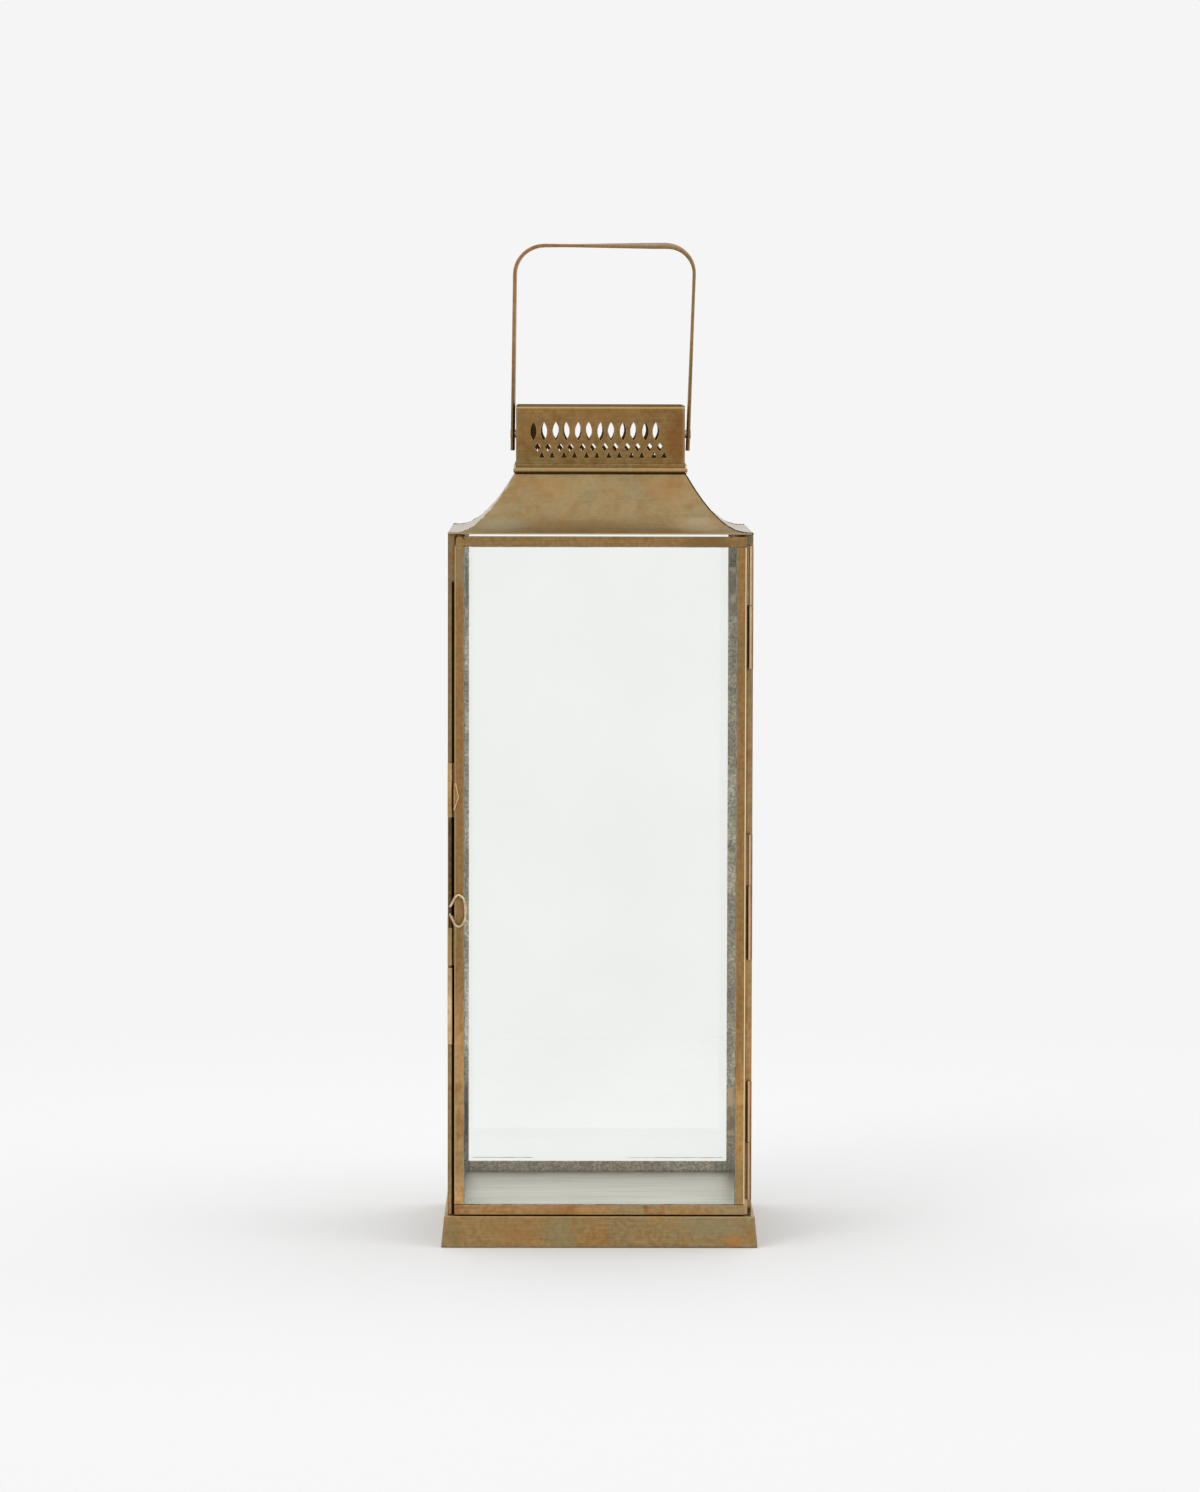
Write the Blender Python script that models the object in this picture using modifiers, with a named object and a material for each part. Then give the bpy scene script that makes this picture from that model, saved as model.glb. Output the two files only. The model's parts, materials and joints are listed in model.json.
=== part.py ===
"""Glazed iron candle lantern: hinged door, sliding bolt, pierced vent collar and swinging strap handle.

Units are metres, +Z is up and the door faces -Y. The origin is the middle of the base, at floor level.
"""
import math

import bmesh
import bpy
from mathutils import Matrix, Vector

# Clearances
SEAT = 0.00025             # gap between pieces that are soldered or seated together
RUN = 0.00015              # gap around a pin, a rivet or a bolt that turns or slides
WELD = 0.000001            # distance under which the points of one piece are merged

# Body: four corner posts on a flared base
BODY_HALF = 0.0721         # half of the width over the posts
POST_LENGTH = 0.32285
POST_FLANGE = 0.0080
POST_SHEET = 0.0008
POST_BEND = 0.0012         # outer radius of the fold along a post
SKIRT_HEIGHT = 0.0146
SKIRT_LEDGE = 0.0015       # how far the top of the skirt stands out past the posts
SKIRT_FLARE = 0.0014       # how much wider the skirt is at the floor
SKIRT_FLANGE = 0.0100      # inward fold along the top, which carries the posts
SKIRT_HEM = 0.0030         # inward fold along the floor
SKIRT_SHEET = 0.0006
RAIL_FOLD = 0.0060         # inward fold of a rail
BOTTOM_RAIL_HEIGHT = 0.0069
SILL_HEIGHT = 0.0040       # front bottom rail, which the door hides
TOP_RAIL_HEIGHT = 0.0035
FLOOR_SHEET = 0.0008

# Glass and the clips that hold it
GLASS = 0.0020
CLIP_SHEET = 0.0005
CLIP_HEIGHT = 0.0240
CLIP_WING = 0.0042
CLIP_NECK = 0.0008
CLIP_INSET = 0.0200        # from an end of the post to the nearer end of the clip

# Door
DOOR_SIDE_GAP = 0.0033     # from the edge of the door to the outside of the posts
DOOR_BOTTOM_GAP = 0.0006
DOOR_TOP_GAP = 0.0008
DOOR_BACK_GAP = 0.0004
DOOR_DEPTH = 0.0037
DOOR_STILE = 0.00445
DOOR_RAIL = 0.0047
DOOR_SHEET = 0.0005
DOOR_GLASS_PLAY = 0.0003   # between the edge of the pane and the bottom of its channel

# Hinges on the right, measured along the door
BARREL_RADIUS = 0.00115
PIN_RADIUS = 0.0005
KNUCKLE_GAP = 0.0010       # from the edge of the door to the barrel
KNUCKLE_LEAF = 0.0008
KNUCKLE_SPLIT = 0.0003
UPPER_HINGE_DROP = 0.0325  # from the top of the door to the split
UPPER_DOOR_KNUCKLE = 0.0280
UPPER_POST_KNUCKLE = 0.0297
MIDDLE_HINGE_DROP = 0.0043  # from the middle of the door to the split
MIDDLE_DOOR_KNUCKLE = 0.0241
MIDDLE_POST_KNUCKLE = 0.0350
LOWER_HINGE_RISE = 0.0344  # from the bottom of the door to the split
LOWER_DOOR_KNUCKLE = 0.0271
LOWER_POST_KNUCKLE = 0.0290

# Sliding bolt on the left
BOLT_RADIUS = 0.00095
GUIDE_WALL = 0.0003
GUIDE_GAP = 0.00055        # from the edge of the door to a guide
LOWER_GUIDE_DROP = 0.01885  # from the middle of the door to the top of the lower guide
LOWER_GUIDE_LENGTH = 0.0233
UPPER_GUIDE_LENGTH = 0.0256
GUIDE_SPAN = 0.0470        # free height between the two guides
KEEPER_GAP = 0.0014
KEEPER_LENGTH = 0.0361
BOLT_TOP_INSET = 0.0020    # top of the bolt, below the top of the upper guide
LOCK_TRAVEL = 0.0050       # how far the bolt drops to lock
RING_WIRE = 0.00065        # radius of the wire
RING_HALF_WIDTH = 0.0033
RING_HALF_HEIGHT = 0.0074
RING_LEG_SPREAD = 0.0019   # half of the distance between the two ends of the wire
RING_STANDOFF = 0.00045    # from the front of the door to the wire
RING_MOUTH = math.radians(130)  # where the loop starts, from its far side

# Roof
ROOF_SHEET = 0.0006
ROOF_RISE = 0.0270
ROOF_TOP_ANGLE = math.radians(60)
ROOF_EAVE_ANGLE = math.radians(3)
ROOF_TOP_PULL = 0.0340
ROOF_EAVE_PULL = 0.0040
ROOF_STEPS = 12

# Vent collar and its moulding
COLLAR_HALF = 0.0402
COLLAR_RISE = 0.0326       # above the top edge of the roof
COLLAR_TUCK = 0.0030       # below the top edge of the roof
COLLAR_SHEET = 0.0006
COLLAR_BEND = 0.0020
MOULDING_BEAD_HEIGHT = 0.0033
MOULDING_BEAD_DEPTH = 0.0010
MOULDING_LIP_HEIGHT = 0.0014
MOULDING_LIP_DEPTH = 0.0004

# Pierced pattern: pairs of almonds, diamonds and drops, each row one step to the right of the row above
PAIR_COUNT = 6
PATTERN_SHIFT = -0.0008    # the pattern stands a little left of the middle of its wall
PAIR_PITCH = 0.01066
PAIR_SPREAD = 0.00494
ROW_STEP = 0.00197
ALMOND_WIDTH = 0.00305
ALMOND_HEIGHT = 0.0089
ALMOND_DROP = 0.0122       # from the top of the collar to the middle of the row
DIAMOND_WIDTH = 0.0030
DIAMOND_HEIGHT = 0.0040
DIAMOND_DROP = 0.0197
DROP_WIDTH = 0.0027
DROP_HEIGHT = 0.0031
DROP_DROP = 0.0232

# Handle
LEFT_GAP = 0.0010          # from the collar to the left leg of the hand-bent strap
RIGHT_GAP = 0.0016         # from the collar to the right leg
LEFT_LEAN = 0.0011         # the top of the left leg stands this far to the right of its pivot
RIGHT_LEAN = 0.0032        # and that of the right leg this far
STRAP = 0.0015
STRAP_WIDTH = 0.0100
HANDLE_RISE = 0.0912       # from the pivot to the top of the strap
HANDLE_END = 0.0080        # from the pivot to the foot of the strap
HANDLE_BEND = 0.0145
PIVOT_DROP = 0.0139        # from the top of the collar to the pivot
RIVET_RADIUS = 0.0015
RIVET_HEAD_RADIUS = 0.0022
RIVET_HEAD = 0.0003
RIVET_SHOULDER_RADIUS = 0.0020

# Facets
ARC_STEPS = 5
ROUND_STEPS = 16
RING_STEPS = 28
SHARP_ANGLE = math.radians(35)

# Heights that follow from the sizes above
POST_FOOT = SKIRT_HEIGHT + SEAT
POST_TOP = POST_FOOT + POST_LENGTH
FLOOR_BOTTOM = POST_FOOT + POST_SHEET + SEAT
FLOOR_TOP = FLOOR_BOTTOM + FLOOR_SHEET
PANE_BOTTOM = FLOOR_BOTTOM
PANE_TOP = POST_TOP - POST_SHEET - SEAT
DOOR_BOTTOM = SKIRT_HEIGHT + DOOR_BOTTOM_GAP
DOOR_TOP = POST_TOP - DOOR_TOP_GAP
DOOR_MIDDLE = (DOOR_BOTTOM + DOOR_TOP) / 2
EAVE_BOTTOM = POST_TOP + SEAT
EAVE_TOP = EAVE_BOTTOM + ROOF_SHEET * math.cos(ROOF_EAVE_ANGLE)
ROOF_TOP = EAVE_TOP + ROOF_RISE
COLLAR_TOP = ROOF_TOP + COLLAR_RISE
COLLAR_FOOT = ROOF_TOP - COLLAR_TUCK
PIVOT_Z = COLLAR_TOP - PIVOT_DROP
LOWER_GUIDE_TOP = DOOR_MIDDLE - LOWER_GUIDE_DROP
LOWER_GUIDE_FOOT = LOWER_GUIDE_TOP - LOWER_GUIDE_LENGTH
UPPER_GUIDE_FOOT = LOWER_GUIDE_TOP + GUIDE_SPAN
UPPER_GUIDE_TOP = UPPER_GUIDE_FOOT + UPPER_GUIDE_LENGTH
KEEPER_TOP = LOWER_GUIDE_FOOT - KEEPER_GAP
RING_Z = LOWER_GUIDE_TOP + SEAT + RING_WIRE + RING_LEG_SPREAD

# Places in plan that follow from the sizes above
ROOF_EAVE_HALF = BODY_HALF  # flush with the posts
DOOR_HALF = BODY_HALF - DOOR_SIDE_GAP
DOOR_FRONT = -BODY_HALF
DOOR_BACK = DOOR_FRONT + DOOR_DEPTH
POST_FRONT = DOOR_BACK + DOOR_BACK_GAP
HINGE_X = DOOR_HALF + KNUCKLE_GAP + BARREL_RADIUS
HINGE_Y = POST_FRONT - SEAT - BARREL_RADIUS
GUIDE_BORE = BOLT_RADIUS + RUN
GUIDE_RADIUS = GUIDE_BORE + GUIDE_WALL
BOLT_X = -(DOOR_HALF + GUIDE_GAP + GUIDE_RADIUS)
BOLT_Y = POST_FRONT - SEAT - GUIDE_RADIUS
PANE_FACE = POST_SHEET + SEAT + GLASS            # inner face of a pane, from the outside of the post
NECK_REACH = CLIP_NECK / math.sqrt(2)
PANE_EDGE = PANE_FACE + NECK_REACH + SEAT        # end of a pane, from the outside of the post

# Quarter turns that carry a front side, or a front left corner, round the body
SIDES = (("front", 0), ("right", 90), ("back", 180), ("left", 270))

# Colours, roughness and metallic value of the finishes
AGED_BRASS = ((0.30, 0.20, 0.09, 1), 0.42, 1.0)
DARK_BRASS = ((0.20, 0.13, 0.06, 1), 0.48, 1.0)
BRIGHT_BRASS = ((0.52, 0.40, 0.24, 1), 0.35, 1.0)
GALVANISED = ((0.42, 0.42, 0.38, 1), 0.50, 1.0)
CLEAR_GLASS = ((0.92, 0.95, 0.93, 1), 0.03, 0.0)

for leftover in list(bpy.data.objects):
    bpy.data.objects.remove(leftover)


def new_collection(name):
    collection = bpy.data.collections.new(name)
    bpy.context.scene.collection.children.link(collection)
    return collection


PARTS = new_collection("iron_lantern")
CUTTERS = new_collection("iron_lantern_cutters")


def finish(obj, look):
    """Give an object its own material."""
    colour, roughness, metallic = look
    material = bpy.data.materials.new(obj.name + "_finish")
    material.use_nodes = True
    shader = material.node_tree.nodes["Principled BSDF"]
    shader.inputs["Base Color"].default_value = colour
    shader.inputs["Roughness"].default_value = roughness
    shader.inputs["Metallic"].default_value = metallic
    if look is CLEAR_GLASS:
        shader.inputs["Transmission Weight"].default_value = 1.0
    obj.data.materials.clear()
    obj.data.materials.append(material)


def place(name, mesh, look, location=(0, 0, 0), turn=0):
    """Make a part from a mesh, turned about the vertical by a number of degrees."""
    obj = bpy.data.objects.new(name, mesh)
    obj.location = location
    obj.rotation_euler.z = math.radians(turn)
    PARTS.objects.link(obj)
    finish(obj, look)
    return obj


def solid_of(obj):
    """Turn an evaluated object into a closed mesh with its faces pointing out, and remove the object."""
    evaluated = obj.evaluated_get(bpy.context.evaluated_depsgraph_get())
    mesh = bpy.data.meshes.new_from_object(evaluated)
    mesh.transform(obj.matrix_world)
    bpy.data.objects.remove(obj)
    shape = bmesh.new()
    shape.from_mesh(mesh)
    bmesh.ops.remove_doubles(shape, verts=shape.verts, dist=WELD)
    bmesh.ops.recalc_face_normals(shape, faces=shape.faces)
    shape.to_mesh(mesh)
    shape.free()
    return mesh


def prism(outlines, low, high, along="Z"):
    """Extrude flat outlines from low to high: (x, y) points along Z, (y, z) along X or (x, z) along Y."""
    curve = bpy.data.curves.new("outline", "CURVE")
    curve.dimensions = "2D"
    curve.fill_mode = "BOTH"
    curve.extrude = (high - low) / 2
    curve.render_resolution_u = 0
    for outline in outlines:
        spline = curve.splines.new("POLY")
        spline.points.add(len(outline) - 1)
        spline.use_cyclic_u = True
        for point, (across, up) in zip(spline.points, outline):
            point.co = (across, up, 0, 1)
    obj = bpy.data.objects.new("outline", curve)
    middle = (low + high) / 2
    if along == "Z":
        obj.location.z = middle
    elif along == "X":
        obj.rotation_euler = (math.pi / 2, 0, math.pi / 2)
        obj.location.x = middle
    else:
        obj.rotation_euler.x = math.pi / 2
        obj.location.y = middle
    PARTS.objects.link(obj)
    bpy.context.view_layer.update()
    return solid_of(obj)


def arc(centre, radius, start, end, steps):
    """Points of an arc, with its angles in degrees."""
    angles = [math.radians(start + (end - start) * step / steps) for step in range(steps + 1)]
    return [(centre[0] + radius * math.cos(a), centre[1] + radius * math.sin(a)) for a in angles]


def circle(centre, radius):
    return arc(centre, radius, 0, 360, ROUND_STEPS)[:-1]


def box_outline(x_low, y_low, x_high, y_high):
    return [(x_low, y_low), (x_high, y_low), (x_high, y_high), (x_low, y_high)]


def rounded_square(half, radius):
    inner = half - radius
    points = []
    for quarter, (x, y) in enumerate(((1, 1), (-1, 1), (-1, -1), (1, -1))):
        points += arc((x * inner, y * inner), radius, 90 * quarter, 90 * quarter + 90, ARC_STEPS)
    return points


def mitre(mesh):
    """Cut the ends of a front side along the two diagonals of the plan, half a seat clear of them."""
    shape = bmesh.new()
    shape.from_mesh(mesh)
    for side in (1, -1):
        everything = shape.verts[:] + shape.edges[:] + shape.faces[:]
        bmesh.ops.bisect_plane(shape, geom=everything, dist=WELD, clear_outer=True,
                               plane_co=(0, -SEAT / math.sqrt(2), 0), plane_no=(side, 1, 0))
        rim = [edge for edge in shape.edges if edge.is_boundary]
        bmesh.ops.holes_fill(shape, edges=rim)
    bmesh.ops.recalc_face_normals(shape, faces=shape.faces)
    shape.to_mesh(mesh)
    shape.free()
    return mesh


def four_sides(stem, outline, reach, look):
    """Place a mitred side of one section, given as (outward, z) points, on each side of the plan."""
    section = [(-outward, z) for outward, z in outline]
    mesh = mitre(prism([section], -reach, reach, "X"))
    for side, turn in SIDES:
        place(f"{stem}_{side}", mesh.copy(), look, turn=turn)


def cutter(name, mesh):
    obj = bpy.data.objects.new(name, mesh)
    obj.hide_render = True
    obj.display_type = "WIRE"
    CUTTERS.objects.link(obj)
    return obj


def cut(obj, tool):
    boolean = obj.modifiers.new(tool.name, "BOOLEAN")
    boolean.operation = "DIFFERENCE"
    boolean.solver = "EXACT"
    boolean.object = tool


def rod_mesh(radius, length):
    """A round bar along Z, centred on the origin."""
    shape = bmesh.new()
    bmesh.ops.create_cone(shape, cap_ends=True, segments=ROUND_STEPS, depth=length,
                          radius1=radius, radius2=radius)
    mesh = bpy.data.meshes.new("rod")
    shape.to_mesh(mesh)
    shape.free()
    return mesh


def smooth(obj):
    obj.data.shade_smooth()
    obj.data.set_sharp_from_angle(angle=SHARP_ANGLE)


def hang(pivot_name, location, pieces):
    """Parent moving pieces to an empty on their joint's axis."""
    pivot = bpy.data.objects.new(pivot_name, None)
    pivot.location = location
    PARTS.objects.link(pivot)
    for piece in pieces:
        piece.parent = pivot
        piece.matrix_parent_inverse = Matrix.Translation(location).inverted()


def build_base():
    """Flared skirt of four mitred sides, folded in along its top and along the floor."""
    top = BODY_HALF + SKIRT_LEDGE
    foot = top + SKIRT_FLARE
    section = [
        (top - SKIRT_FLANGE, SKIRT_HEIGHT), (top, SKIRT_HEIGHT), (foot, 0), (foot - SKIRT_HEM, 0),
        (foot - SKIRT_HEM, SKIRT_SHEET), (foot - SKIRT_SHEET, SKIRT_SHEET),
        (top - SKIRT_SHEET, SKIRT_HEIGHT - SKIRT_SHEET), (top - SKIRT_FLANGE, SKIRT_HEIGHT - SKIRT_SHEET),
    ]
    four_sides("base_skirt", section, foot, AGED_BRASS)


def corners():
    """Name, outer corner and quarter turn of each post."""
    return (
        ("front_left", (-BODY_HALF, POST_FRONT, 0), 0),
        ("front_right", (BODY_HALF, POST_FRONT, 0), 90),
        ("back_right", (BODY_HALF, BODY_HALF, 0), 180),
        ("back_left", (-BODY_HALF, BODY_HALF, 0), 270),
    )


def build_posts():
    """Angle posts, each drawn with its outer corner at the origin and its flanges along +X and +Y."""
    inner_bend = POST_BEND - POST_SHEET
    outline = arc((POST_BEND, POST_BEND), POST_BEND, 180, 270, ARC_STEPS)
    outline += [(POST_FLANGE, 0), (POST_FLANGE, POST_SHEET)]
    outline += arc((POST_BEND, POST_BEND), inner_bend, 270, 180, ARC_STEPS)
    outline += [(POST_SHEET, POST_FLANGE), (0, POST_FLANGE)]
    mesh = prism([outline], POST_FOOT, POST_TOP)
    for corner, location, turn in corners():
        place(f"post_{corner}", mesh.copy(), AGED_BRASS, location, turn)


def angle_section(outward, foot, top, fold_z):
    """Rail section as (outward, z) points: an upright strip with a fold turned in at its foot or top."""
    inner = outward - POST_SHEET
    if fold_z == foot:
        return [(outward, foot), (outward, top), (inner, top), (inner, foot + POST_SHEET),
                (outward - RAIL_FOLD, foot + POST_SHEET), (outward - RAIL_FOLD, foot)]
    return [(outward, foot), (outward, top), (outward - RAIL_FOLD, top),
            (outward - RAIL_FOLD, top - POST_SHEET), (inner, top - POST_SHEET), (inner, foot)]


def build_rails():
    """Angle rails between the posts: four at the foot, three at the top, none over the door."""
    reach = BODY_HALF - POST_FLANGE - SEAT
    front_reach = POST_FRONT + POST_FLANGE + SEAT
    low = POST_FOOT
    high = POST_TOP
    spans = {
        "front": (-reach, reach), "right": (front_reach, reach),
        "back": (-reach, reach), "left": (-reach, -front_reach),
    }
    for side, turn in SIDES:
        outward = -POST_FRONT if side == "front" else BODY_HALF
        height = SILL_HEIGHT if side == "front" else BOTTOM_RAIL_HEIGHT
        start, end = spans[side]
        section = [(-out, z) for out, z in angle_section(outward, low, low + height, low)]
        place(f"bottom_rail_{side}", prism([section], start, end, "X"), AGED_BRASS, turn=turn)
        if side != "front":
            section = [(-out, z) for out, z in angle_section(outward, high - TOP_RAIL_HEIGHT, high, high)]
            place(f"top_rail_{side}", prism([section], start, end, "X"), AGED_BRASS, turn=turn)


def build_floor():
    """Plate that the candle stands on, laid on the folds of the bottom rails, inside the panes."""
    half = BODY_HALF - PANE_FACE - SEAT
    front = POST_FRONT + POST_SHEET + SEAT
    place("floor_plate", prism([box_outline(-half, front, half, half)], FLOOR_BOTTOM, FLOOR_TOP), GALVANISED)


def build_panes():
    """Fixed panes on the left, the right and the back."""
    outer = BODY_HALF - POST_SHEET - SEAT
    inner = outer - GLASS
    edge = BODY_HALF - PANE_EDGE
    front = POST_FRONT + POST_SHEET + SEAT
    outlines = {
        "left": box_outline(-outer, front, -inner, edge),
        "right": box_outline(inner, front, outer, edge),
        "back": box_outline(-edge, inner, edge, outer),
    }
    for side, outline in outlines.items():
        place(f"glass_pane_{side}", prism([outline], PANE_BOTTOM, PANE_TOP), CLEAR_GLASS)


def back_clip_outline():
    """Two wings that lie on the panes, and a neck between the panes to the inside of the post."""
    near = PANE_FACE + SEAT
    far = near + CLIP_SHEET
    end = near + CLIP_WING
    inner_bend = POST_BEND - POST_SHEET
    bend_middle = POST_BEND - inner_bend / math.sqrt(2)
    tip = bend_middle + SEAT
    half = NECK_REACH / 2
    return [
        (tip + half, tip - half), (near + NECK_REACH, near), (end, near), (end, far), (far, far),
        (far, end), (near, end), (near, near + NECK_REACH), (tip - half, tip + half),
    ]


def front_clip_outline():
    """One wing soldered to the back of the post's front flange, one lying on the side pane."""
    start = POST_SHEET + SEAT
    near = PANE_FACE + SEAT
    far = near + CLIP_SHEET
    return [
        (near, start), (POST_FLANGE - SEAT, start), (POST_FLANGE - SEAT, start + CLIP_SHEET),
        (far, start + CLIP_SHEET), (far, start + CLIP_WING), (near, start + CLIP_WING),
    ]


def build_clips():
    """An upper and a lower clip in each corner."""
    levels = {"lower": POST_FOOT + CLIP_INSET, "upper": POST_TOP - CLIP_INSET - CLIP_HEIGHT}
    for corner, location, turn in corners():
        outline = back_clip_outline()
        if corner.startswith("front"):
            outline = front_clip_outline()
        if corner == "front_right":
            outline = [(y, x) for x, y in outline]
        for level, foot in levels.items():
            mesh = prism([outline], foot, foot + CLIP_HEIGHT)
            place(f"glass_clip_{corner}_{level}", mesh, GALVANISED, location, turn)


def roof_curve():
    """Outer and inner lines of a roof panel, from its top edge down to its eave, as (outward, z) points."""
    top_half = COLLAR_HALF + SEAT + ROOF_SHEET * math.sin(ROOF_TOP_ANGLE)
    top = Vector((top_half, ROOF_TOP))
    eave = Vector((ROOF_EAVE_HALF, EAVE_TOP))
    top_way = Vector((math.cos(ROOF_TOP_ANGLE), -math.sin(ROOF_TOP_ANGLE)))
    eave_way = Vector((math.cos(ROOF_EAVE_ANGLE), -math.sin(ROOF_EAVE_ANGLE)))
    handles = (top, top + ROOF_TOP_PULL * top_way, eave - ROOF_EAVE_PULL * eave_way, eave)
    outer = []
    inner = []
    for step in range(ROOF_STEPS + 1):
        t = step / ROOF_STEPS
        s = 1 - t
        shares = (s ** 3, 3 * s * s * t, 3 * s * t * t, t ** 3)
        point = sum((share * handle for share, handle in zip(shares, handles)), Vector((0, 0)))
        pulls = (s * s, 2 * s * t, t * t)
        steps = [after - before for before, after in zip(handles, handles[1:])]
        way = sum((pull * step_way for pull, step_way in zip(pulls, steps)), Vector((0, 0)))
        way.normalize()
        outer.append(point)
        inner.append(point - ROOF_SHEET * Vector((-way.y, way.x)))
    return outer, inner


def build_roof():
    """Four concave panels mitred along the hips."""
    outer, inner = roof_curve()
    section = [tuple(point) for point in outer] + [tuple(point) for point in reversed(inner)]
    four_sides("roof_panel", section, ROOF_EAVE_HALF, AGED_BRASS)


def pierced_pattern():
    """Outlines of the pierced rows, as (x, z) points on the front of the collar."""
    bow = (ALMOND_HEIGHT ** 2 / 4 - ALMOND_WIDTH ** 2 / 4) / ALMOND_WIDTH
    sweep = math.degrees(math.atan2(ALMOND_HEIGHT / 2, bow))
    radius = bow + ALMOND_WIDTH / 2
    outlines = []
    for pair in range(PAIR_COUNT):
        pair_x = PATTERN_SHIFT + (pair - (PAIR_COUNT - 1) / 2) * PAIR_PITCH
        for x in (pair_x - PAIR_SPREAD / 2, pair_x + PAIR_SPREAD / 2):
            left = x - ROW_STEP
            z = COLLAR_TOP - ALMOND_DROP
            outlines.append(arc((left - bow, z), radius, -sweep, sweep, ARC_STEPS)[:-1]
                            + arc((left + bow, z), radius, 180 - sweep, 180 + sweep, ARC_STEPS)[:-1])
            z = COLLAR_TOP - DIAMOND_DROP
            outlines.append([(x - DIAMOND_WIDTH / 2, z), (x, z - DIAMOND_HEIGHT / 2),
                             (x + DIAMOND_WIDTH / 2, z), (x, z + DIAMOND_HEIGHT / 2)])
            right = x + ROW_STEP
            z = COLLAR_TOP - DROP_DROP
            outlines.append([(right - DROP_WIDTH / 2, z - DROP_HEIGHT / 2),
                             (right + DROP_WIDTH / 2, z - DROP_HEIGHT / 2), (right, z + DROP_HEIGHT / 2)])
    return outlines


def build_collar():
    """Open square collar with rounded corners, pierced front and back, and the moulding round its foot."""
    inner = COLLAR_HALF - COLLAR_SHEET
    inner_bend = COLLAR_BEND - COLLAR_SHEET
    outlines = [rounded_square(COLLAR_HALF, COLLAR_BEND), rounded_square(inner, inner_bend)]
    collar = place("vent_collar", prism(outlines, COLLAR_FOOT, COLLAR_TOP), AGED_BRASS)
    front = prism(pierced_pattern(), -COLLAR_HALF - COLLAR_SHEET, -inner + COLLAR_SHEET, "Y")
    back = front.copy()
    back.transform(Matrix.Rotation(math.pi, 4, "Z"))
    rivet_holes = rod_mesh(RIVET_RADIUS + SEAT, 2 * (COLLAR_HALF + COLLAR_SHEET))
    rivet_holes.transform(Matrix.Translation((0, 0, PIVOT_Z)) @ Matrix.Rotation(math.pi / 2, 4, "Y"))
    for name, mesh in (("pierce_front", front), ("pierce_back", back), ("rivet_holes", rivet_holes)):
        cut(collar, cutter(name, mesh))

    wall = COLLAR_HALF + SEAT
    foot = ROOF_TOP + SEAT
    middle = foot + MOULDING_BEAD_HEIGHT / 2
    lip_top = foot + MOULDING_BEAD_HEIGHT + MOULDING_LIP_HEIGHT
    bead = [(wall + MOULDING_BEAD_DEPTH * across, middle + MOULDING_BEAD_HEIGHT / 2 * up)
            for across, up in arc((0, 0), 1, -90, 90, 2 * ARC_STEPS)]
    lip_angle = math.degrees(math.acos(MOULDING_LIP_DEPTH / MOULDING_BEAD_DEPTH))
    lip_seat = middle + MOULDING_BEAD_HEIGHT / 2 * math.sin(math.radians(lip_angle))
    section = [point for point in bead if point[1] < lip_seat - WELD]
    section += [(wall + MOULDING_LIP_DEPTH, lip_seat), (wall + MOULDING_LIP_DEPTH, lip_top), (wall, lip_top)]
    four_sides("collar_moulding", section, wall + MOULDING_BEAD_DEPTH, AGED_BRASS)


def channel(low, high, back, front, floor_side):
    """U section of a door member: low to high across its face, open away from floor_side."""
    inner_back = back - DOOR_SHEET
    inner_front = front + DOOR_SHEET
    if floor_side == "low":
        floor = low + DOOR_SHEET
        return [(low, front), (high, front), (high, inner_front), (floor, inner_front),
                (floor, inner_back), (high, inner_back), (high, back), (low, back)]
    floor = high - DOOR_SHEET
    return [(high, front), (low, front), (low, inner_front), (floor, inner_front),
            (floor, inner_back), (low, inner_back), (low, back), (high, back)]


def build_door():
    """Glazed leaf of four folded channels: the rails run full width, the stiles stand between them."""
    pieces = []
    rails = {
        "top": channel(DOOR_TOP - DOOR_RAIL, DOOR_TOP, DOOR_BACK, DOOR_FRONT, "high"),
        "bottom": channel(DOOR_BOTTOM, DOOR_BOTTOM + DOOR_RAIL, DOOR_BACK, DOOR_FRONT, "low"),
    }
    for level, section in rails.items():
        section = [(y, z) for z, y in section]
        pieces.append(place(f"door_rail_{level}", prism([section], -DOOR_HALF, DOOR_HALF, "X"), AGED_BRASS))
    stiles = {
        "left": channel(-DOOR_HALF, -DOOR_HALF + DOOR_STILE, DOOR_BACK, DOOR_FRONT, "low"),
        "right": channel(DOOR_HALF - DOOR_STILE, DOOR_HALF, DOOR_BACK, DOOR_FRONT, "high"),
    }
    stile_foot = DOOR_BOTTOM + DOOR_RAIL + SEAT
    stile_top = DOOR_TOP - DOOR_RAIL - SEAT
    for side, section in stiles.items():
        pieces.append(place(f"door_stile_{side}", prism([section], stile_foot, stile_top), AGED_BRASS))

    edge = DOOR_SHEET + DOOR_GLASS_PLAY
    middle = (DOOR_FRONT + DOOR_BACK) / 2
    pane = box_outline(-DOOR_HALF + edge, middle - GLASS / 2, DOOR_HALF - edge, middle + GLASS / 2)
    pieces.append(place("door_glass", prism([pane], DOOR_BOTTOM + edge, DOOR_TOP - edge), CLEAR_GLASS))
    return pieces


def barrel_outline(radius, reach, leaf):
    """Round barrel about the origin with a flat leaf that reaches out along +X."""
    lift = math.degrees(math.asin(leaf / 2 / radius))
    return arc((0, 0), radius, lift, 360 - lift, ROUND_STEPS) + [(reach, -leaf / 2), (reach, leaf / 2)]


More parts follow.
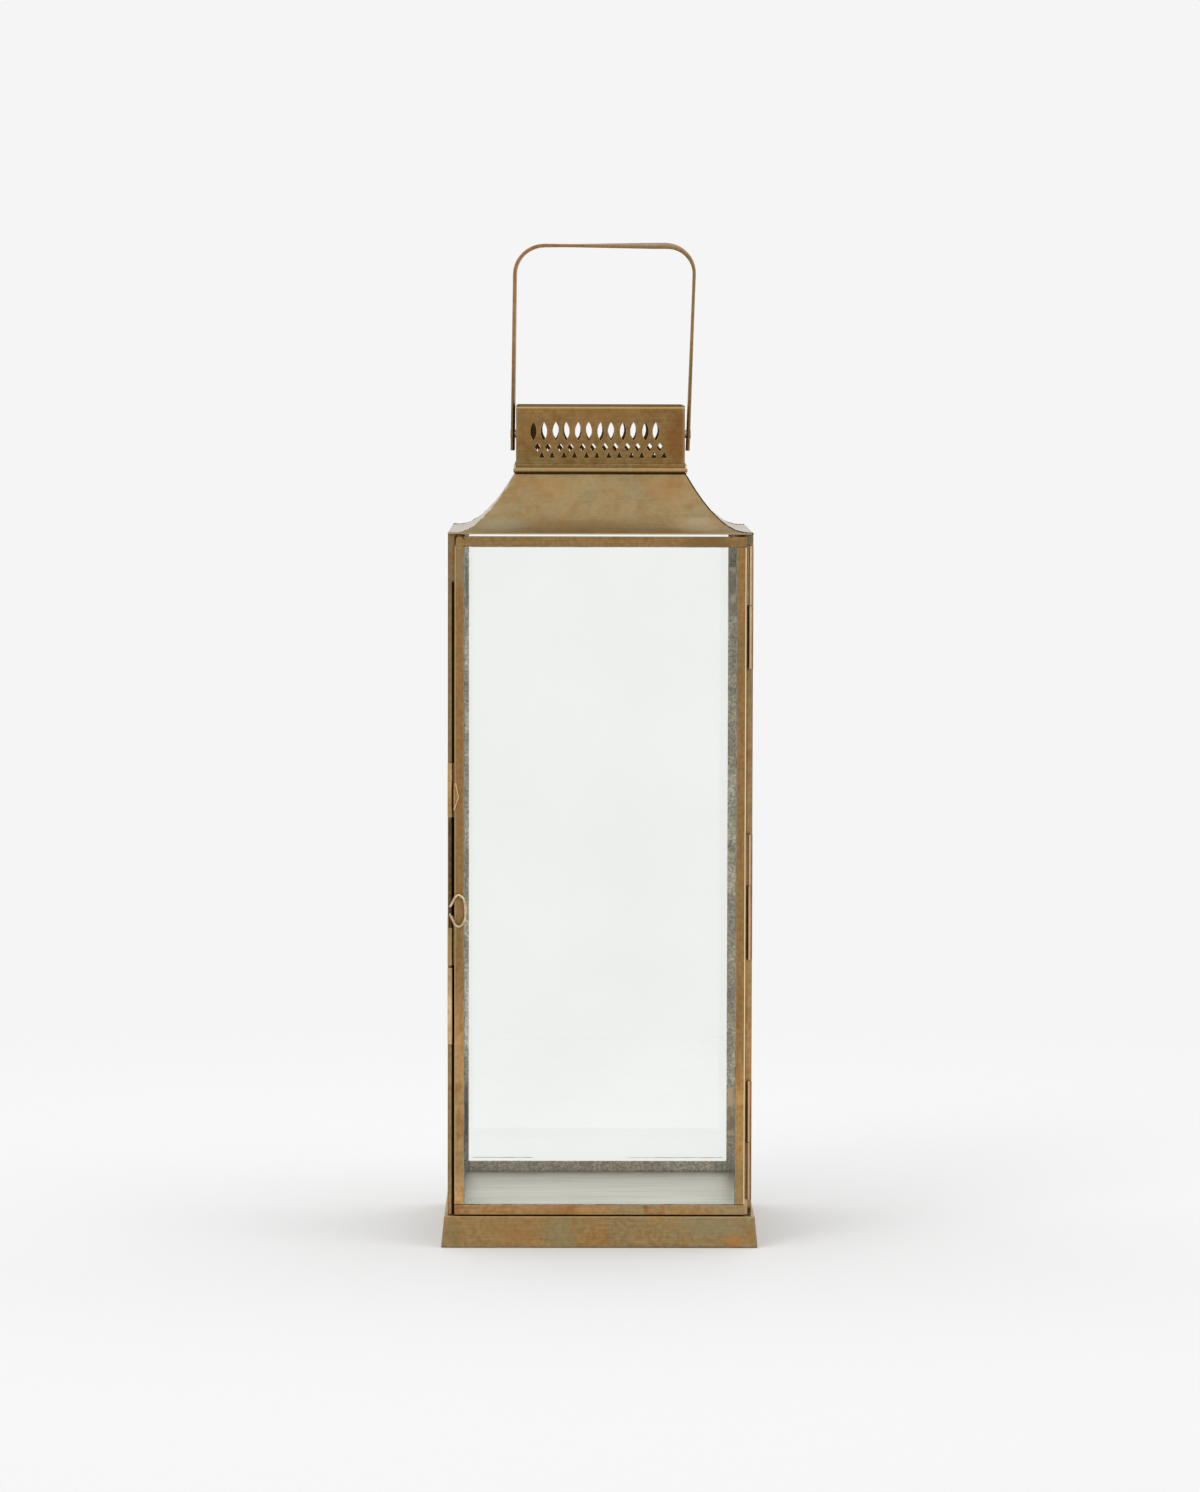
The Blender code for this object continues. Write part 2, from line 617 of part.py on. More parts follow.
def build_hinges():
    """Three hinges: a knuckle on the door, a knuckle on the post and a pin fast in the post's knuckle."""
    bore = circle((0, 0), PIN_RADIUS + RUN)
    reach = BARREL_RADIUS + KNUCKLE_GAP - SEAT
    door_outline = barrel_outline(BARREL_RADIUS, reach, KNUCKLE_LEAF)
    post_outline = circle((0, 0), BARREL_RADIUS)
    hinges = (
        ("upper", DOOR_TOP - UPPER_HINGE_DROP, UPPER_DOOR_KNUCKLE, UPPER_POST_KNUCKLE, 1),
        ("middle", DOOR_MIDDLE - MIDDLE_HINGE_DROP, MIDDLE_DOOR_KNUCKLE, MIDDLE_POST_KNUCKLE, 1),
        ("lower", DOOR_BOTTOM + LOWER_HINGE_RISE, LOWER_DOOR_KNUCKLE, LOWER_POST_KNUCKLE, -1),
    )
    door_pieces = []
    for name, split, door_length, post_length, door_way in hinges:
        axis = (HINGE_X, HINGE_Y, split)
        gap = KNUCKLE_SPLIT / 2
        door_ends = sorted((door_way * gap, door_way * (gap + door_length)))
        post_ends = sorted((-door_way * gap, -door_way * (gap + post_length)))
        door_mesh = prism([door_outline, bore], *door_ends)
        knuckle = place(f"hinge_knuckle_door_{name}", door_mesh, AGED_BRASS, axis, 180)
        door_pieces.append(knuckle)
        post_mesh = prism([post_outline, bore], *post_ends)
        post_knuckle = place(f"hinge_knuckle_post_{name}", post_mesh, AGED_BRASS, axis)
        pin_mesh = rod_mesh(PIN_RADIUS, door_length + post_length + KNUCKLE_SPLIT)
        pin_z = split + door_way * (door_length - post_length) / 2
        pin = place(f"hinge_pin_{name}", pin_mesh, DARK_BRASS, (HINGE_X, HINGE_Y, pin_z))
        for piece in (knuckle, post_knuckle, pin):
            smooth(piece)
    return door_pieces


def build_guides():
    """Two guides on the door for the bolt, the lower one slotted for the ring, and the keeper on the post."""
    bore = circle((0, 0), GUIDE_BORE)
    outline = barrel_outline(GUIDE_RADIUS, GUIDE_RADIUS + GUIDE_GAP - SEAT, 2 * GUIDE_WALL)
    axis = (BOLT_X, BOLT_Y, 0)
    upper_mesh = prism([outline, bore], UPPER_GUIDE_FOOT, UPPER_GUIDE_TOP)
    lower_mesh = prism([outline, bore], LOWER_GUIDE_FOOT, LOWER_GUIDE_TOP)
    upper = place("bolt_guide_upper", upper_mesh, AGED_BRASS, axis)
    lower = place("bolt_guide_lower", lower_mesh, AGED_BRASS, axis)
    half = RING_WIRE + SEAT
    slot_foot = LOWER_GUIDE_TOP - LOCK_TRAVEL - RING_WIRE
    slot_top = LOWER_GUIDE_TOP + RING_WIRE
    slot = prism([box_outline(-half, -2 * GUIDE_RADIUS, half, 0)], slot_foot, slot_top)
    slot.transform(Matrix.Translation(axis))
    cut(lower, cutter("ring_slot", slot))
    keeper_outline = circle((0, 0), GUIDE_RADIUS)
    keeper = prism([keeper_outline, bore], KEEPER_TOP - KEEPER_LENGTH, KEEPER_TOP)
    smooth(place("bolt_keeper", keeper, AGED_BRASS, axis))
    for piece in (upper, lower):
        smooth(piece)
    return [upper, lower]


def ring_path():
    """Heart-shaped loop of wire in front of the door, with both ends turned in to the bolt."""
    loop_y = DOOR_FRONT - RING_STANDOFF - RING_WIRE
    root_y = BOLT_Y - BOLT_RADIUS - RUN
    loop_x = BOLT_X + RING_HALF_WIDTH + RING_WIRE
    half = [
        Vector((BOLT_X, root_y, RING_LEG_SPREAD)),
        Vector((BOLT_X, (root_y + loop_y) / 2, RING_LEG_SPREAD)),
        Vector((BOLT_X + RING_WIRE / 2, loop_y, RING_LEG_SPREAD + RING_WIRE)),
    ]
    for step in range(RING_STEPS // 2):
        angle = RING_MOUTH * (1 - step / (RING_STEPS // 2))
        across = loop_x + RING_HALF_WIDTH * math.cos(angle)
        half.append(Vector((across, loop_y, RING_HALF_HEIGHT * math.sin(angle))))
    middle = Vector((loop_x + RING_HALF_WIDTH, loop_y, 0))
    mirrored = [Vector((point.x, point.y, -point.z)) for point in reversed(half)]
    return half + [middle] + mirrored


def wire_mesh(points, radius):
    """Round wire along a line of points, with closed ends."""
    curve = bpy.data.curves.new("wire", "CURVE")
    curve.dimensions = "3D"
    curve.bevel_depth = radius
    curve.bevel_resolution = 2
    curve.use_fill_caps = True
    curve.render_resolution_u = 0
    spline = curve.splines.new("POLY")
    spline.points.add(len(points) - 1)
    for point, place_of in zip(spline.points, points):
        point.co = (*place_of, 1)
    obj = bpy.data.objects.new("wire", curve)
    PARTS.objects.link(obj)
    return solid_of(obj)


def build_bolt():
    """Bolt rod that slides in the guides, and the wire ring that lifts it."""
    foot = LOWER_GUIDE_FOOT
    top = UPPER_GUIDE_TOP - BOLT_TOP_INSET
    rod = place("bolt_rod", rod_mesh(BOLT_RADIUS, top - foot), DARK_BRASS, (BOLT_X, BOLT_Y, (foot + top) / 2))
    ring = place("bolt_ring", wire_mesh(ring_path(), RING_WIRE), BRIGHT_BRASS, (0, 0, RING_Z))
    for piece in (rod, ring):
        smooth(piece)
    hang("bolt_axis", (BOLT_X, BOLT_Y, RING_Z), [rod, ring])


def strap_outline(offset):
    """One line of the bent strap, from the foot of the left leg to that of the right, as (x, z) points."""
    left = -COLLAR_HALF - LEFT_GAP - offset
    right = COLLAR_HALF + RIGHT_GAP + offset
    top = PIVOT_Z + HANDLE_RISE - STRAP + offset
    bend = HANDLE_BEND - STRAP + offset
    points = [(left, PIVOT_Z - HANDLE_END)]
    points += arc((left + bend, top - bend), bend, 180, 90, 2 * ARC_STEPS)
    points += arc((right - bend, top - bend), bend, 90, 0, 2 * ARC_STEPS)
    points.append((right, PIVOT_Z - HANDLE_END))
    leaning = []
    for x, z in points:
        lean = LEFT_LEAN + (RIGHT_LEAN - LEFT_LEAN) * (x - left) / (right - left)
        leaning.append((x + lean * (z - PIVOT_Z) / HANDLE_RISE, z))
    return leaning


def build_handle():
    """Flat strap bent to a bail, which swings on two rivets through the sides of the collar."""
    outline = strap_outline(STRAP) + strap_outline(0)[::-1]
    strap = place("handle_strap", prism([outline], -STRAP_WIDTH / 2, STRAP_WIDTH / 2, "Y"), AGED_BRASS)
    pivot_bar = rod_mesh(RIVET_RADIUS + RUN, 2 * (COLLAR_HALF + max(LEFT_GAP, RIGHT_GAP) + 2 * STRAP))
    pivot_bar.transform(Matrix.Translation((0, 0, PIVOT_Z)) @ Matrix.Rotation(math.pi / 2, 4, "Y"))
    cut(strap, cutter("pivot_holes", pivot_bar))
    hang("handle_axis", (0, 0, PIVOT_Z), [strap])

    wall = COLLAR_HALF - COLLAR_SHEET - SEAT
    shoulder = COLLAR_HALF + SEAT
    for side, gap, tilt in (("right", RIGHT_GAP, math.pi / 2), ("left", LEFT_GAP, -math.pi / 2)):
        strap_in = COLLAR_HALF + gap - RUN
        strap_out = COLLAR_HALF + gap + STRAP + RUN
        profile = [
            (0, strap_out + RIVET_HEAD), (RIVET_HEAD_RADIUS, strap_out + RIVET_HEAD),
            (RIVET_HEAD_RADIUS, strap_out), (RIVET_RADIUS, strap_out),
            (RIVET_RADIUS, strap_in), (RIVET_SHOULDER_RADIUS, strap_in),
            (RIVET_SHOULDER_RADIUS, shoulder), (RIVET_RADIUS, shoulder),
            (RIVET_RADIUS, wall), (RIVET_HEAD_RADIUS, wall),
            (RIVET_HEAD_RADIUS, wall - RIVET_HEAD), (0, wall - RIVET_HEAD),
        ]
        mesh = bpy.data.meshes.new("rivet")
        edges = [(i, i + 1) for i in range(len(profile) - 1)]
        mesh.from_pydata([(radius, 0, out) for radius, out in profile], edges, [])
        rivet = place(f"handle_rivet_{side}", mesh, DARK_BRASS, (0, 0, PIVOT_Z))
        rivet.rotation_euler.y = tilt
        screw = rivet.modifiers.new("turn", "SCREW")
        screw.steps = ROUND_STEPS
        screw.render_steps = ROUND_STEPS
        screw.use_merge_vertices = True
        screw.merge_threshold = WELD


def build_lantern():
    build_base()
    build_posts()
    build_rails()
    build_floor()
    build_panes()
    build_clips()
    build_roof()
    build_collar()
    door_pieces = build_door() + build_hinges() + build_guides()
    hang("door_axis", (HINGE_X, HINGE_Y, DOOR_MIDDLE), door_pieces)
    build_bolt()
    build_handle()


build_lantern()
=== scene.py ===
"""Looks of the glazed iron lantern: patinated brass outside, galvanised sheet inside, clear glass, solder.

Units are metres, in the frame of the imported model: +Z up, the door faces -Y, the floor is at z = 0.
"""
import json
import math
import random

import bmesh
import bpy
from mathutils import Matrix, Vector

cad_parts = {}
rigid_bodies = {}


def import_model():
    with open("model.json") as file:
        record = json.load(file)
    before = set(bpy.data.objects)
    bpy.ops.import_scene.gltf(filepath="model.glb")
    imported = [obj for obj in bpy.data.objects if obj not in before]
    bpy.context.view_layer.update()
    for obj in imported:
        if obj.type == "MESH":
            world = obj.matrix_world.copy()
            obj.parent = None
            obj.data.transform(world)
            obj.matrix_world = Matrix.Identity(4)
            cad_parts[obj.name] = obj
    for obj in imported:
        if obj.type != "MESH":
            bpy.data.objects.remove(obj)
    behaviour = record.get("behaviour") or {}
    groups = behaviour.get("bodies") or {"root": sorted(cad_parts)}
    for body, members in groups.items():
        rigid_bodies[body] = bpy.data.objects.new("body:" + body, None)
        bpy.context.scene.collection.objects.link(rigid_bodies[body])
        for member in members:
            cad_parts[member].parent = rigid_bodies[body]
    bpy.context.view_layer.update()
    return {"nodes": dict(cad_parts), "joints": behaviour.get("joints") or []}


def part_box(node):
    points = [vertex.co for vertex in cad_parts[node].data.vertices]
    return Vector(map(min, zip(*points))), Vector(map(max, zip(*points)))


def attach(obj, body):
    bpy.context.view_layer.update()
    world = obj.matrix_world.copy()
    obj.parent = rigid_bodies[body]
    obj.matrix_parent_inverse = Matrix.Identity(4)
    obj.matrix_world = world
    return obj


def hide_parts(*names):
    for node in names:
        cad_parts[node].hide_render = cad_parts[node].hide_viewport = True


for leftover in list(bpy.data.objects):
    bpy.data.objects.remove(leftover)

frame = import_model()
NODES = frame["nodes"]
SIDES = ("front", "right", "back", "left")
TURNS = (("front_left", -1, -1), ("front_right", 1, -1), ("back_right", 1, 1), ("back_left", -1, 1))
CORNERS = [corner for corner, x, y in TURNS]
HINGES = ("upper", "middle", "lower")
LEVELS = ("upper", "lower")

# Camera, fitted to the photograph
LENS = 146.3
SENSOR = 36.0
CAMERA_PLACE = (-0.0199, -2.928, 0.4259)
CAMERA_PITCH = math.radians(3.762)
CAMERA_ROLL = math.radians(0.115)
CAMERA_YAW = math.radians(-0.396)

# Studio
BACKGROUND = 0.913
SKY_LIGHT = 0.90
FLOOR_TONES = (0.85, 0.913)  # grey of the floor near the lamps in front, and behind
FLOOR_TURN = (-0.25, 0.30)   # depths between which it goes from one to the other
FLOOR_ROUGHNESS = 0.9
FLOOR_DROP = 0.0002
FLOOR_RADIUS = 1.2
FLOOR_SIDES = 96
FLOOR_FADE = (0.25, 0.9 * FLOOR_RADIUS)  # distances between which the floor fades into the background
SOFTBOXES = (                # name, place, size and power
    ("key_light", (-1.1, -1.5, 1.7), 1.0, 8.5),
    ("fill_light", (1.6, -1.1, 0.9), 1.2, 4.0),
    ("top_light", (0.1, 0.1, 2.1), 1.4, 3.5),
)
LIGHT_AIM = Vector((0, 0, 0.25))

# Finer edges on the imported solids
WELD = 0.000001
FLAT_ANGLE = math.radians(0.6)
SHARP_ANGLE = math.radians(35)
BEVEL_STEPS = 2
SHEET_EDGE = 0.00012
SKIRT_EDGE = 0.0002
DOOR_EDGE = 0.00018
FINE_EDGE = 0.0001           # roof, moulding and small fittings
COLLAR_EDGE = 0.00005
PANE_EDGE = 0.0002
NO_EDGE = 0

# Roof curve, the same as that of the roof panels
ROOF_SHEET = 0.0006
ROOF_TOP_ANGLE = math.radians(60)
ROOF_EAVE_ANGLE = math.radians(3)
ROOF_TOP_PULL = 0.0340
ROOF_EAVE_PULL = 0.0040
SEAT = 0.00025

# Handle, a thin strap bent by hand: each leg leans by its own amount, and the strap twists along its length
STRAP = 0.0015
STRAP_WIDTH = 0.0100
STRAP_EDGE = 0.0004
LEFT_GAP = 0.0010            # from the collar to the left leg
RIGHT_GAP = 0.0016
LEFT_LEAN = 0.0011
RIGHT_LEAN = 0.0032
HANDLE_BEND = 0.0145
BEND_STEPS = 10
TWISTS = ((0.0, -3.5), (0.32, -2.5), (0.40, -1.0), (0.60, 11.0), (0.68, 2.0), (1.0, -2.0))  # share, degrees
STRAP_FADE = 0.032           # height over which the strap turns from dark to light

# Beads of solder and putty: radius, and number of points along a run
HIP_BEAD, HIP_POINTS = 0.00052, 28
SKIRT_BEAD, SKIRT_POINTS = 0.00032, 12
MOULDING_BEAD, MOULDING_POINTS = 0.00055, 6
RAIL_BEAD, RAIL_POINTS = 0.00035, 5
GLAZING_BEAD, GLAZING_POINTS = 0.00028, 24
SEALANT_BEAD, SEALANT_POINTS = 0.00012, 16
LEAF_BEAD, LEAF_POINTS = 0.00022, 8
BEAD_SIDES = 8
CORNER_STEPS = 3             # in each rounded corner of the strap and of the tab on the door
SKIRT_LEDGE = 0.0015         # how far the top of the skirt stands out past the posts
GLAZING_SINK = 0.6           # share of the bead's radius from the pane to its middle
SEALANT_RISE = 0.0020        # from the back rail up to the runs of sealant
SEALANT_RUNS = (("left", -0.062, -0.032), ("right", 0.015, 0.062))

# Small trim on the door
LEAF_SHARES = (0.13, 0.37, 0.63)  # foot, tip and head of the leaf, as shares of the guide's length
LEAF_INNER = 0.0003          # how far the leaf reaches past the edge of the door
LEAF_TIP = 0.0019            # how far its tip and its head reach over the door
LEAF_HEAD = 0.0005
LEAF_RISE = 0.00035          # how far it stands out from the door
LEAF_SINK = 0.0001
TAB_WIDTH = 0.0040
TAB_HEIGHT = 0.0062
TAB_CORNER = 0.0017
TAB_RISE = 0.0004            # how far the tab stands above the door
TAB_SHEET = 0.0002
# radius of the painted shade line over the tab
TAB_SHADE_LINE = 0.0004

# Masks that the finishes share
NOISE_RANGE = (0.3, 0.7)     # values that a noise pattern mostly keeps to
MIX_INPUTS = (0, 6, 7)       # sockets of a colour mix: its share and its two colours
MIX_OUTPUT = 2
RAY_SAMPLES = 6
EDGE_MATCH = (0.995, 0.86)   # likeness of the rounded normal to the plain one, on flat faces and on edges
OPENNESS = (0.85, 0.25)      # of a face, where a crevice starts and where it is deep
INWARD = -0.003              # below this a face looks towards the lantern's axis
SPOT_GRAIN = 210.0
SPOT_EDGE = (1.75, 0.95)     # ragged distance at which a stain starts and at which it is full

# Reach of wear, reach of the grime and painted shade in crevices, and depth of the unevenness in the surfaces
WEAR_REACH = 0.00055
BRASS_GRIME_AND_SHADE = 0.0022
SMALL_GRIME_AND_SHADE = 0.0015
FLOOR_GRIME_AND_SHADE = 0.006
DENT_DEPTH = 0.0006
MOTTLE_DEPTH = 0.00005
STREAK_DEPTH = 0.000015
SMALL_DEPTH = 0.00002
FLOOR_STREAK_DEPTH = 0.00004
FLOOR_DENT_DEPTH = 0.0002

# Directions of the fine streaks in the brass
UPRIGHT = (1, 1, 0.04)
LEVEL = (0.04, 0.04, 1)

# Places between which a finish turns from one colour to another
BODY_HEIGHTS = (0.015, 0.337)
LEFT_FADE = (0.075, 0.135)   # heights on the left stile, light to dark
RIGHT_FADE = (0.060, 0.100)
BARREL_HEIGHTS = (0.07, 0.30)
FLOOR_DULL = (-0.01, 0.068)  # depths on the floor plate

# Painted lines
EDGE_LINE = 0.00015          # half of the width of the painted highlight and shade lines along edges, and the softness of a line's sides
RIM_LINE = 0.0006            # width of the worn edge of the eave and of the painted highlight and shade lines on the collar's edges, and depth of a front line
HIP_LINE = 0.0007            # width of the painted shade line along the front right hip
RIGHT_HIP = (1, 1, 0)        # level direction across that hip, which passes over the axis
SHADOW_SLIT = 0.0014                # half of the width of the painted shadow in the slit beside the post with the bolt
SLIT_TOP = 0.3149
STREAK_WIDTH = 0.0014        # bright streak at the foot of the post with the hinges
STREAK_HEIGHT = 0.0180
LINE_FADE = 0.0014           # softness of the ends of the slit and the streak

# Painted shade and highlights on the moulding and the hinge barrels, as lines: start, end and softness as
# shares, colour and strength
MOULDING_LIGHT_AND_SHADE = (
    # painted shadow under the moulding
    (0.00, 0.18, 0.08, "3d2a12", 0.85),
    # painted highlight on the bead
    (0.36, 0.54, 0.12, "c9ae80", 0.45),
    # painted shade in the groove between the lip and the bead
    (0.66, 0.70, 0.04, "5a4425", 0.8),
)
BARREL_LIGHT_AND_SHADE = (
    # painted highlight
    (0.15, 0.45, 0.15, "dcc09a", 0.7),
    # painted shade
    (0.80, 1.00, 0.10, "63472a", 0.7),
)

# Stains on the brass and the bare sheet, with a few spots of painted shade and light among them: middle,
# reach along each axis, colour and strength
ROOF_STAINS = (
    ((-0.026, -0.046, 0.360), (0.014, 0.020, 0.006), "aa8250", 0.4),
    ((0.030, -0.046, 0.359), (0.012, 0.020, 0.007), "a97c4a", 0.4),
    ((-0.046, -0.058, 0.3420), (0.013, 0.020, 0.004), "98957c", 0.45),
    ((0.046, -0.058, 0.3420), (0.012, 0.020, 0.004), "b5a282", 0.5),
    ((-0.012, -0.058, 0.3420), (0.030, 0.020, 0.003), "83683f", 0.2),
)
FLANK_STAINS = (
    ((-0.0690, -0.0690, 0.3390), (0.006, 0.006, 0.002), "4a4334", 0.6),
)
COLLAR_STAINS = (
    ((0.037, -0.040, 0.384), (0.006, 0.010, 0.012), "7a5026", 0.6),
    ((-0.036, -0.040, 0.388), (0.006, 0.010, 0.008), "8c6a3c", 0.5),
    ((0.004, -0.040, 0.394), (0.016, 0.010, 0.003), "8e6a3b", 0.5),
)
BASE_STAINS = (
    ((-0.0695, -0.0745, 0.006), (0.006, 0.004, 0.007), "857350", 0.5),
    ((0.052, -0.0745, 0.010), (0.020, 0.004, 0.006), "928a6a", 0.5),
    ((0.064, -0.0745, 0.003), (0.005, 0.004, 0.003), "b47d44", 0.55),
    ((0.0715, -0.0745, 0.006), (0.003, 0.004, 0.005), "9a7040", 0.5),
    ((-0.040, -0.0745, 0.004), (0.010, 0.004, 0.004), "a57a48", 0.5),
    ((-0.042, -0.0745, 0.010), (0.018, 0.004, 0.005), "9d7644", 0.4),
    ((-0.018, -0.0745, 0.007), (0.008, 0.004, 0.009), "8a8562", 0.5),
)
TOP_RAIL_STAINS = (
    ((0.050, -0.0721, 0.334), (0.014, 0.004, 0.005), "755e38", 0.6),
)
LEFT_STILE_STAINS = (
    ((-0.0666, -0.0721, 0.322), (0.004, 0.004, 0.010), "8f8262", 0.6),
)
POST_STAINS_AND_SHADE = (
    ((0.0706, -0.0680, 0.3358), (0.0022, 0.003, 0.0024), "6d6653", 0.9),
    # painted shade: dark recess at the foot of the post with the hinges
    ((0.0708, -0.0680, 0.0168), (0.0022, 0.003, 0.0022), "33270f", 0.9),
)
ZINC_STAINS_AND_LIGHT = (
    ((-0.0641, 0.070, 0.030), (0.010, 0.010, 0.022), "6e5a3c", 0.7),
    # painted light: near-white patch that brightens a dimly lit stretch of the zinc on the left back post
    ((-0.0641, 0.070, 0.093), (0.010, 0.010, 0.026), "f6f4e6", 0.9),
    ((0.0641, 0.070, 0.036), (0.010, 0.010, 0.022), "b5a27c", 0.4),
    ((0.0641, 0.070, 0.325), (0.010, 0.010, 0.022), "6a6653", 0.4),
)
RAIL_STAINS = (
    ((0, 0.070, 0.020), (0.200, 0.050, 0.050), "b1946e", 0.6),
    ((0.058, 0.070, 0.020), (0.030, 0.050, 0.050), "f0e4c8", 0.4),
)

# Light and dark tones of the glass clips: grey above, brown below, and rusty at the back left
CLIP_TONES = {
    "upper": ("c4ba9c", "9a9176"),
    "lower": ("dcc49a", "b09872"),
}
RUSTY_CLIP = ("back_left", "lower")
RUST_TONES = ("705636", "45341c")
CLIP_GRAIN = 160.0
SOLDER_GRAIN = 300.0

random.seed(7)


def colour(code):
    """Linear RGBA of a six-digit sRGB colour."""
    parts = [int(code[i:i + 2], 16) / 255 for i in (0, 2, 4)]
    linear = [p / 12.92 if p <= 0.04045 else ((p + 0.055) / 1.055) ** 2.4 for p in parts]
    return (*linear, 1)


def grey(tone):
    return (tone, tone, tone, 1)


class Graph:
    """A material's node tree, with short ways to add the nodes that the finishes share."""

    def __init__(self, name):
        self.material = bpy.data.materials.new(name)
        self.material.use_nodes = True
        self.tree = self.material.node_tree
        self.shader = self.tree.nodes["Principled BSDF"]
        coordinates = self.add("TexCoord")
        self.position = coordinates.outputs["Object"]
        self.normal = coordinates.outputs["Normal"]

    def put(self, socket, value):
        if isinstance(value, bpy.types.NodeSocket):
            self.tree.links.new(value, socket)
        else:
            socket.default_value = value

    def add(self, kind, inputs=None, **settings):
        node = self.tree.nodes.new("ShaderNode" + kind)
        for key, value in settings.items():
            setattr(node, key, value)
        for key, value in (inputs or {}).items():
            self.put(node.inputs[key], value)
        return node

    def operate(self, kind, operation, values):
        node = self.add(kind, operation=operation)
        for socket, value in zip(node.inputs, values):
            self.put(socket, value)
        return node

    def math(self, operation, *values):
        return self.operate("Math", operation, values).outputs[0]

    def vector(self, operation, *values):
        return self.operate("VectorMath", operation, values)

    def axis(self, name):
        return self.add("SeparateXYZ", {"Vector": self.position}).outputs[name]

    def along(self, direction):
        return self.vector("DOT_PRODUCT", self.position, direction).outputs["Value"]

    def blend(self, factor, first, second):
        node = self.add("Mix", data_type="RGBA")
        for index, value in zip(MIX_INPUTS, (factor, first, second)):
            self.put(node.inputs[index], value)
        return node.outputs[MIX_OUTPUT]

    def tint(self, paint, value):
        return self.add("HueSaturation", {"Color": paint, "Value": value}).outputs[0]

    def span(self, value, low, high, to_low=0.0, to_high=1.0):
        """Carry low..high smoothly to to_low..to_high."""
        inputs = {"Value": value, "From Min": low, "From Max": high, "To Min": to_low, "To Max": to_high}
        return self.add("MapRange", inputs, interpolation_type="SMOOTHSTEP").outputs[0]

    def noise(self, scale, detail=4.0, stretch=(1, 1, 1), distortion=0.0, offset=(0, 0, 0)):
        inputs = {"Vector": self.position, "Scale": stretch, "Location": offset}
        moved = self.add("Mapping", inputs).outputs[0]
        inputs = {"Vector": moved, "Scale": scale, "Detail": detail, "Distortion": distortion}
        return self.add("TexNoise", inputs).outputs["Fac"]

    def spread(self, pattern, low, high):
        """Carry the usual range of a noise pattern to low..high."""
        return self.span(pattern, *NOISE_RANGE, low, high)

    def edges(self, radius):
        """1 on sharp outer and inner edges, 0 on flat faces."""
        rounded = self.add("Bevel", {"Radius": radius}, samples=RAY_SAMPLES).outputs[0]
        plain = self.add("NewGeometry").outputs["Normal"]
        match = self.vector("DOT_PRODUCT", rounded, plain).outputs["Value"]
        return self.span(match, *EDGE_MATCH)

    def crevices(self, distance):
        """1 in corners and narrow gaps, 0 on open faces."""
        shade = self.add("AmbientOcclusion", {"Distance": distance}, samples=RAY_SAMPLES).outputs["AO"]
        return self.span(shade, *OPENNESS)

    def inside(self):
        """1 on faces that look towards the lantern's axis."""
        flat = self.vector("MULTIPLY", self.position, (1, 1, 0)).outputs[0]
        facing = self.vector("DOT_PRODUCT", flat, self.normal).outputs["Value"]
        return self.math("LESS_THAN", facing, INWARD)

    def band(self, way, start, end, soft):
        """1 between two places along an axis or a direction, fading out over soft at each end."""
        place = self.axis(way) if isinstance(way, str) else self.along(way)
        rise = self.span(place, start - soft, start)
        fall = self.span(place, end + soft, end)
        return self.math("MULTIPLY", rise, fall)

    def spot(self, centre, reach):
        """1 round a centre, out to about reach along each axis, with a ragged edge."""
        offset = self.vector("SUBTRACT", self.position, centre).outputs[0]
        far = self.vector("LENGTH", self.vector("DIVIDE", offset, reach).outputs[0]).outputs["Value"]
        return self.span(self.math("ADD", far, self.noise(SPOT_GRAIN)), *SPOT_EDGE)

    def over(self, paint, mask, code, share=1.0):
        """Lay a colour over the paint where the mask is 1."""
        return self.blend(self.math("MULTIPLY", mask, share), paint, colour(code))

    def stained(self, paint, stains):
        """Lay stains over the paint."""
        for centre, reach, code, share in stains:
            paint = self.over(paint, self.spot(centre, reach), code, share)
        return paint

    def lined(self, paint, lines):
        """Lay painted lines over the paint, each where all its bands meet."""
        for code, share, bands in lines:
            mask = self.band(*bands[0])
            for further in bands[1:]:
                mask = self.math("MULTIPLY", mask, self.band(*further))
            paint = self.over(paint, mask, code, share)
        return paint

    def bump(self, *layers):
        """Bump from (height, distance) layers."""
        normal = None
        for height, distance in layers:
            inputs = {"Height": height, "Distance": distance, "Strength": 1.0}
            if normal is not None:
                inputs["Normal"] = normal
            normal = self.add("Bump", inputs).outputs[0]
        return normal

    def finish(self, paint, roughness, metallic=1.0, normal=None):
        self.put(self.shader.inputs["Base Color"], paint)
        self.put(self.shader.inputs["Roughness"], roughness)
        self.put(self.shader.inputs["Metallic"], metallic)
        if normal is not None:
            self.put(self.shader.inputs["Normal"], normal)
        return self.material


def mark(code, strength, *bands):
    """Painted line: its colour, its strength and the bands that it lies in, each (axis, start, end, soft)."""
    return code, strength, bands


def share_marks(axis, low, high, rows):
    """Painted lines between shares of the way from low to high."""
    reach = high - low
    marks = []
    for start, end, soft, code, strength in rows:
        marks.append(mark(code, strength, (axis, low + start * reach, low + end * reach, soft * reach)))
    return marks


def front_band(front):
    """Band that keeps a painted line to the front of a piece."""
    return ("Y", front - EDGE_LINE, front + RIM_LINE, EDGE_LINE)


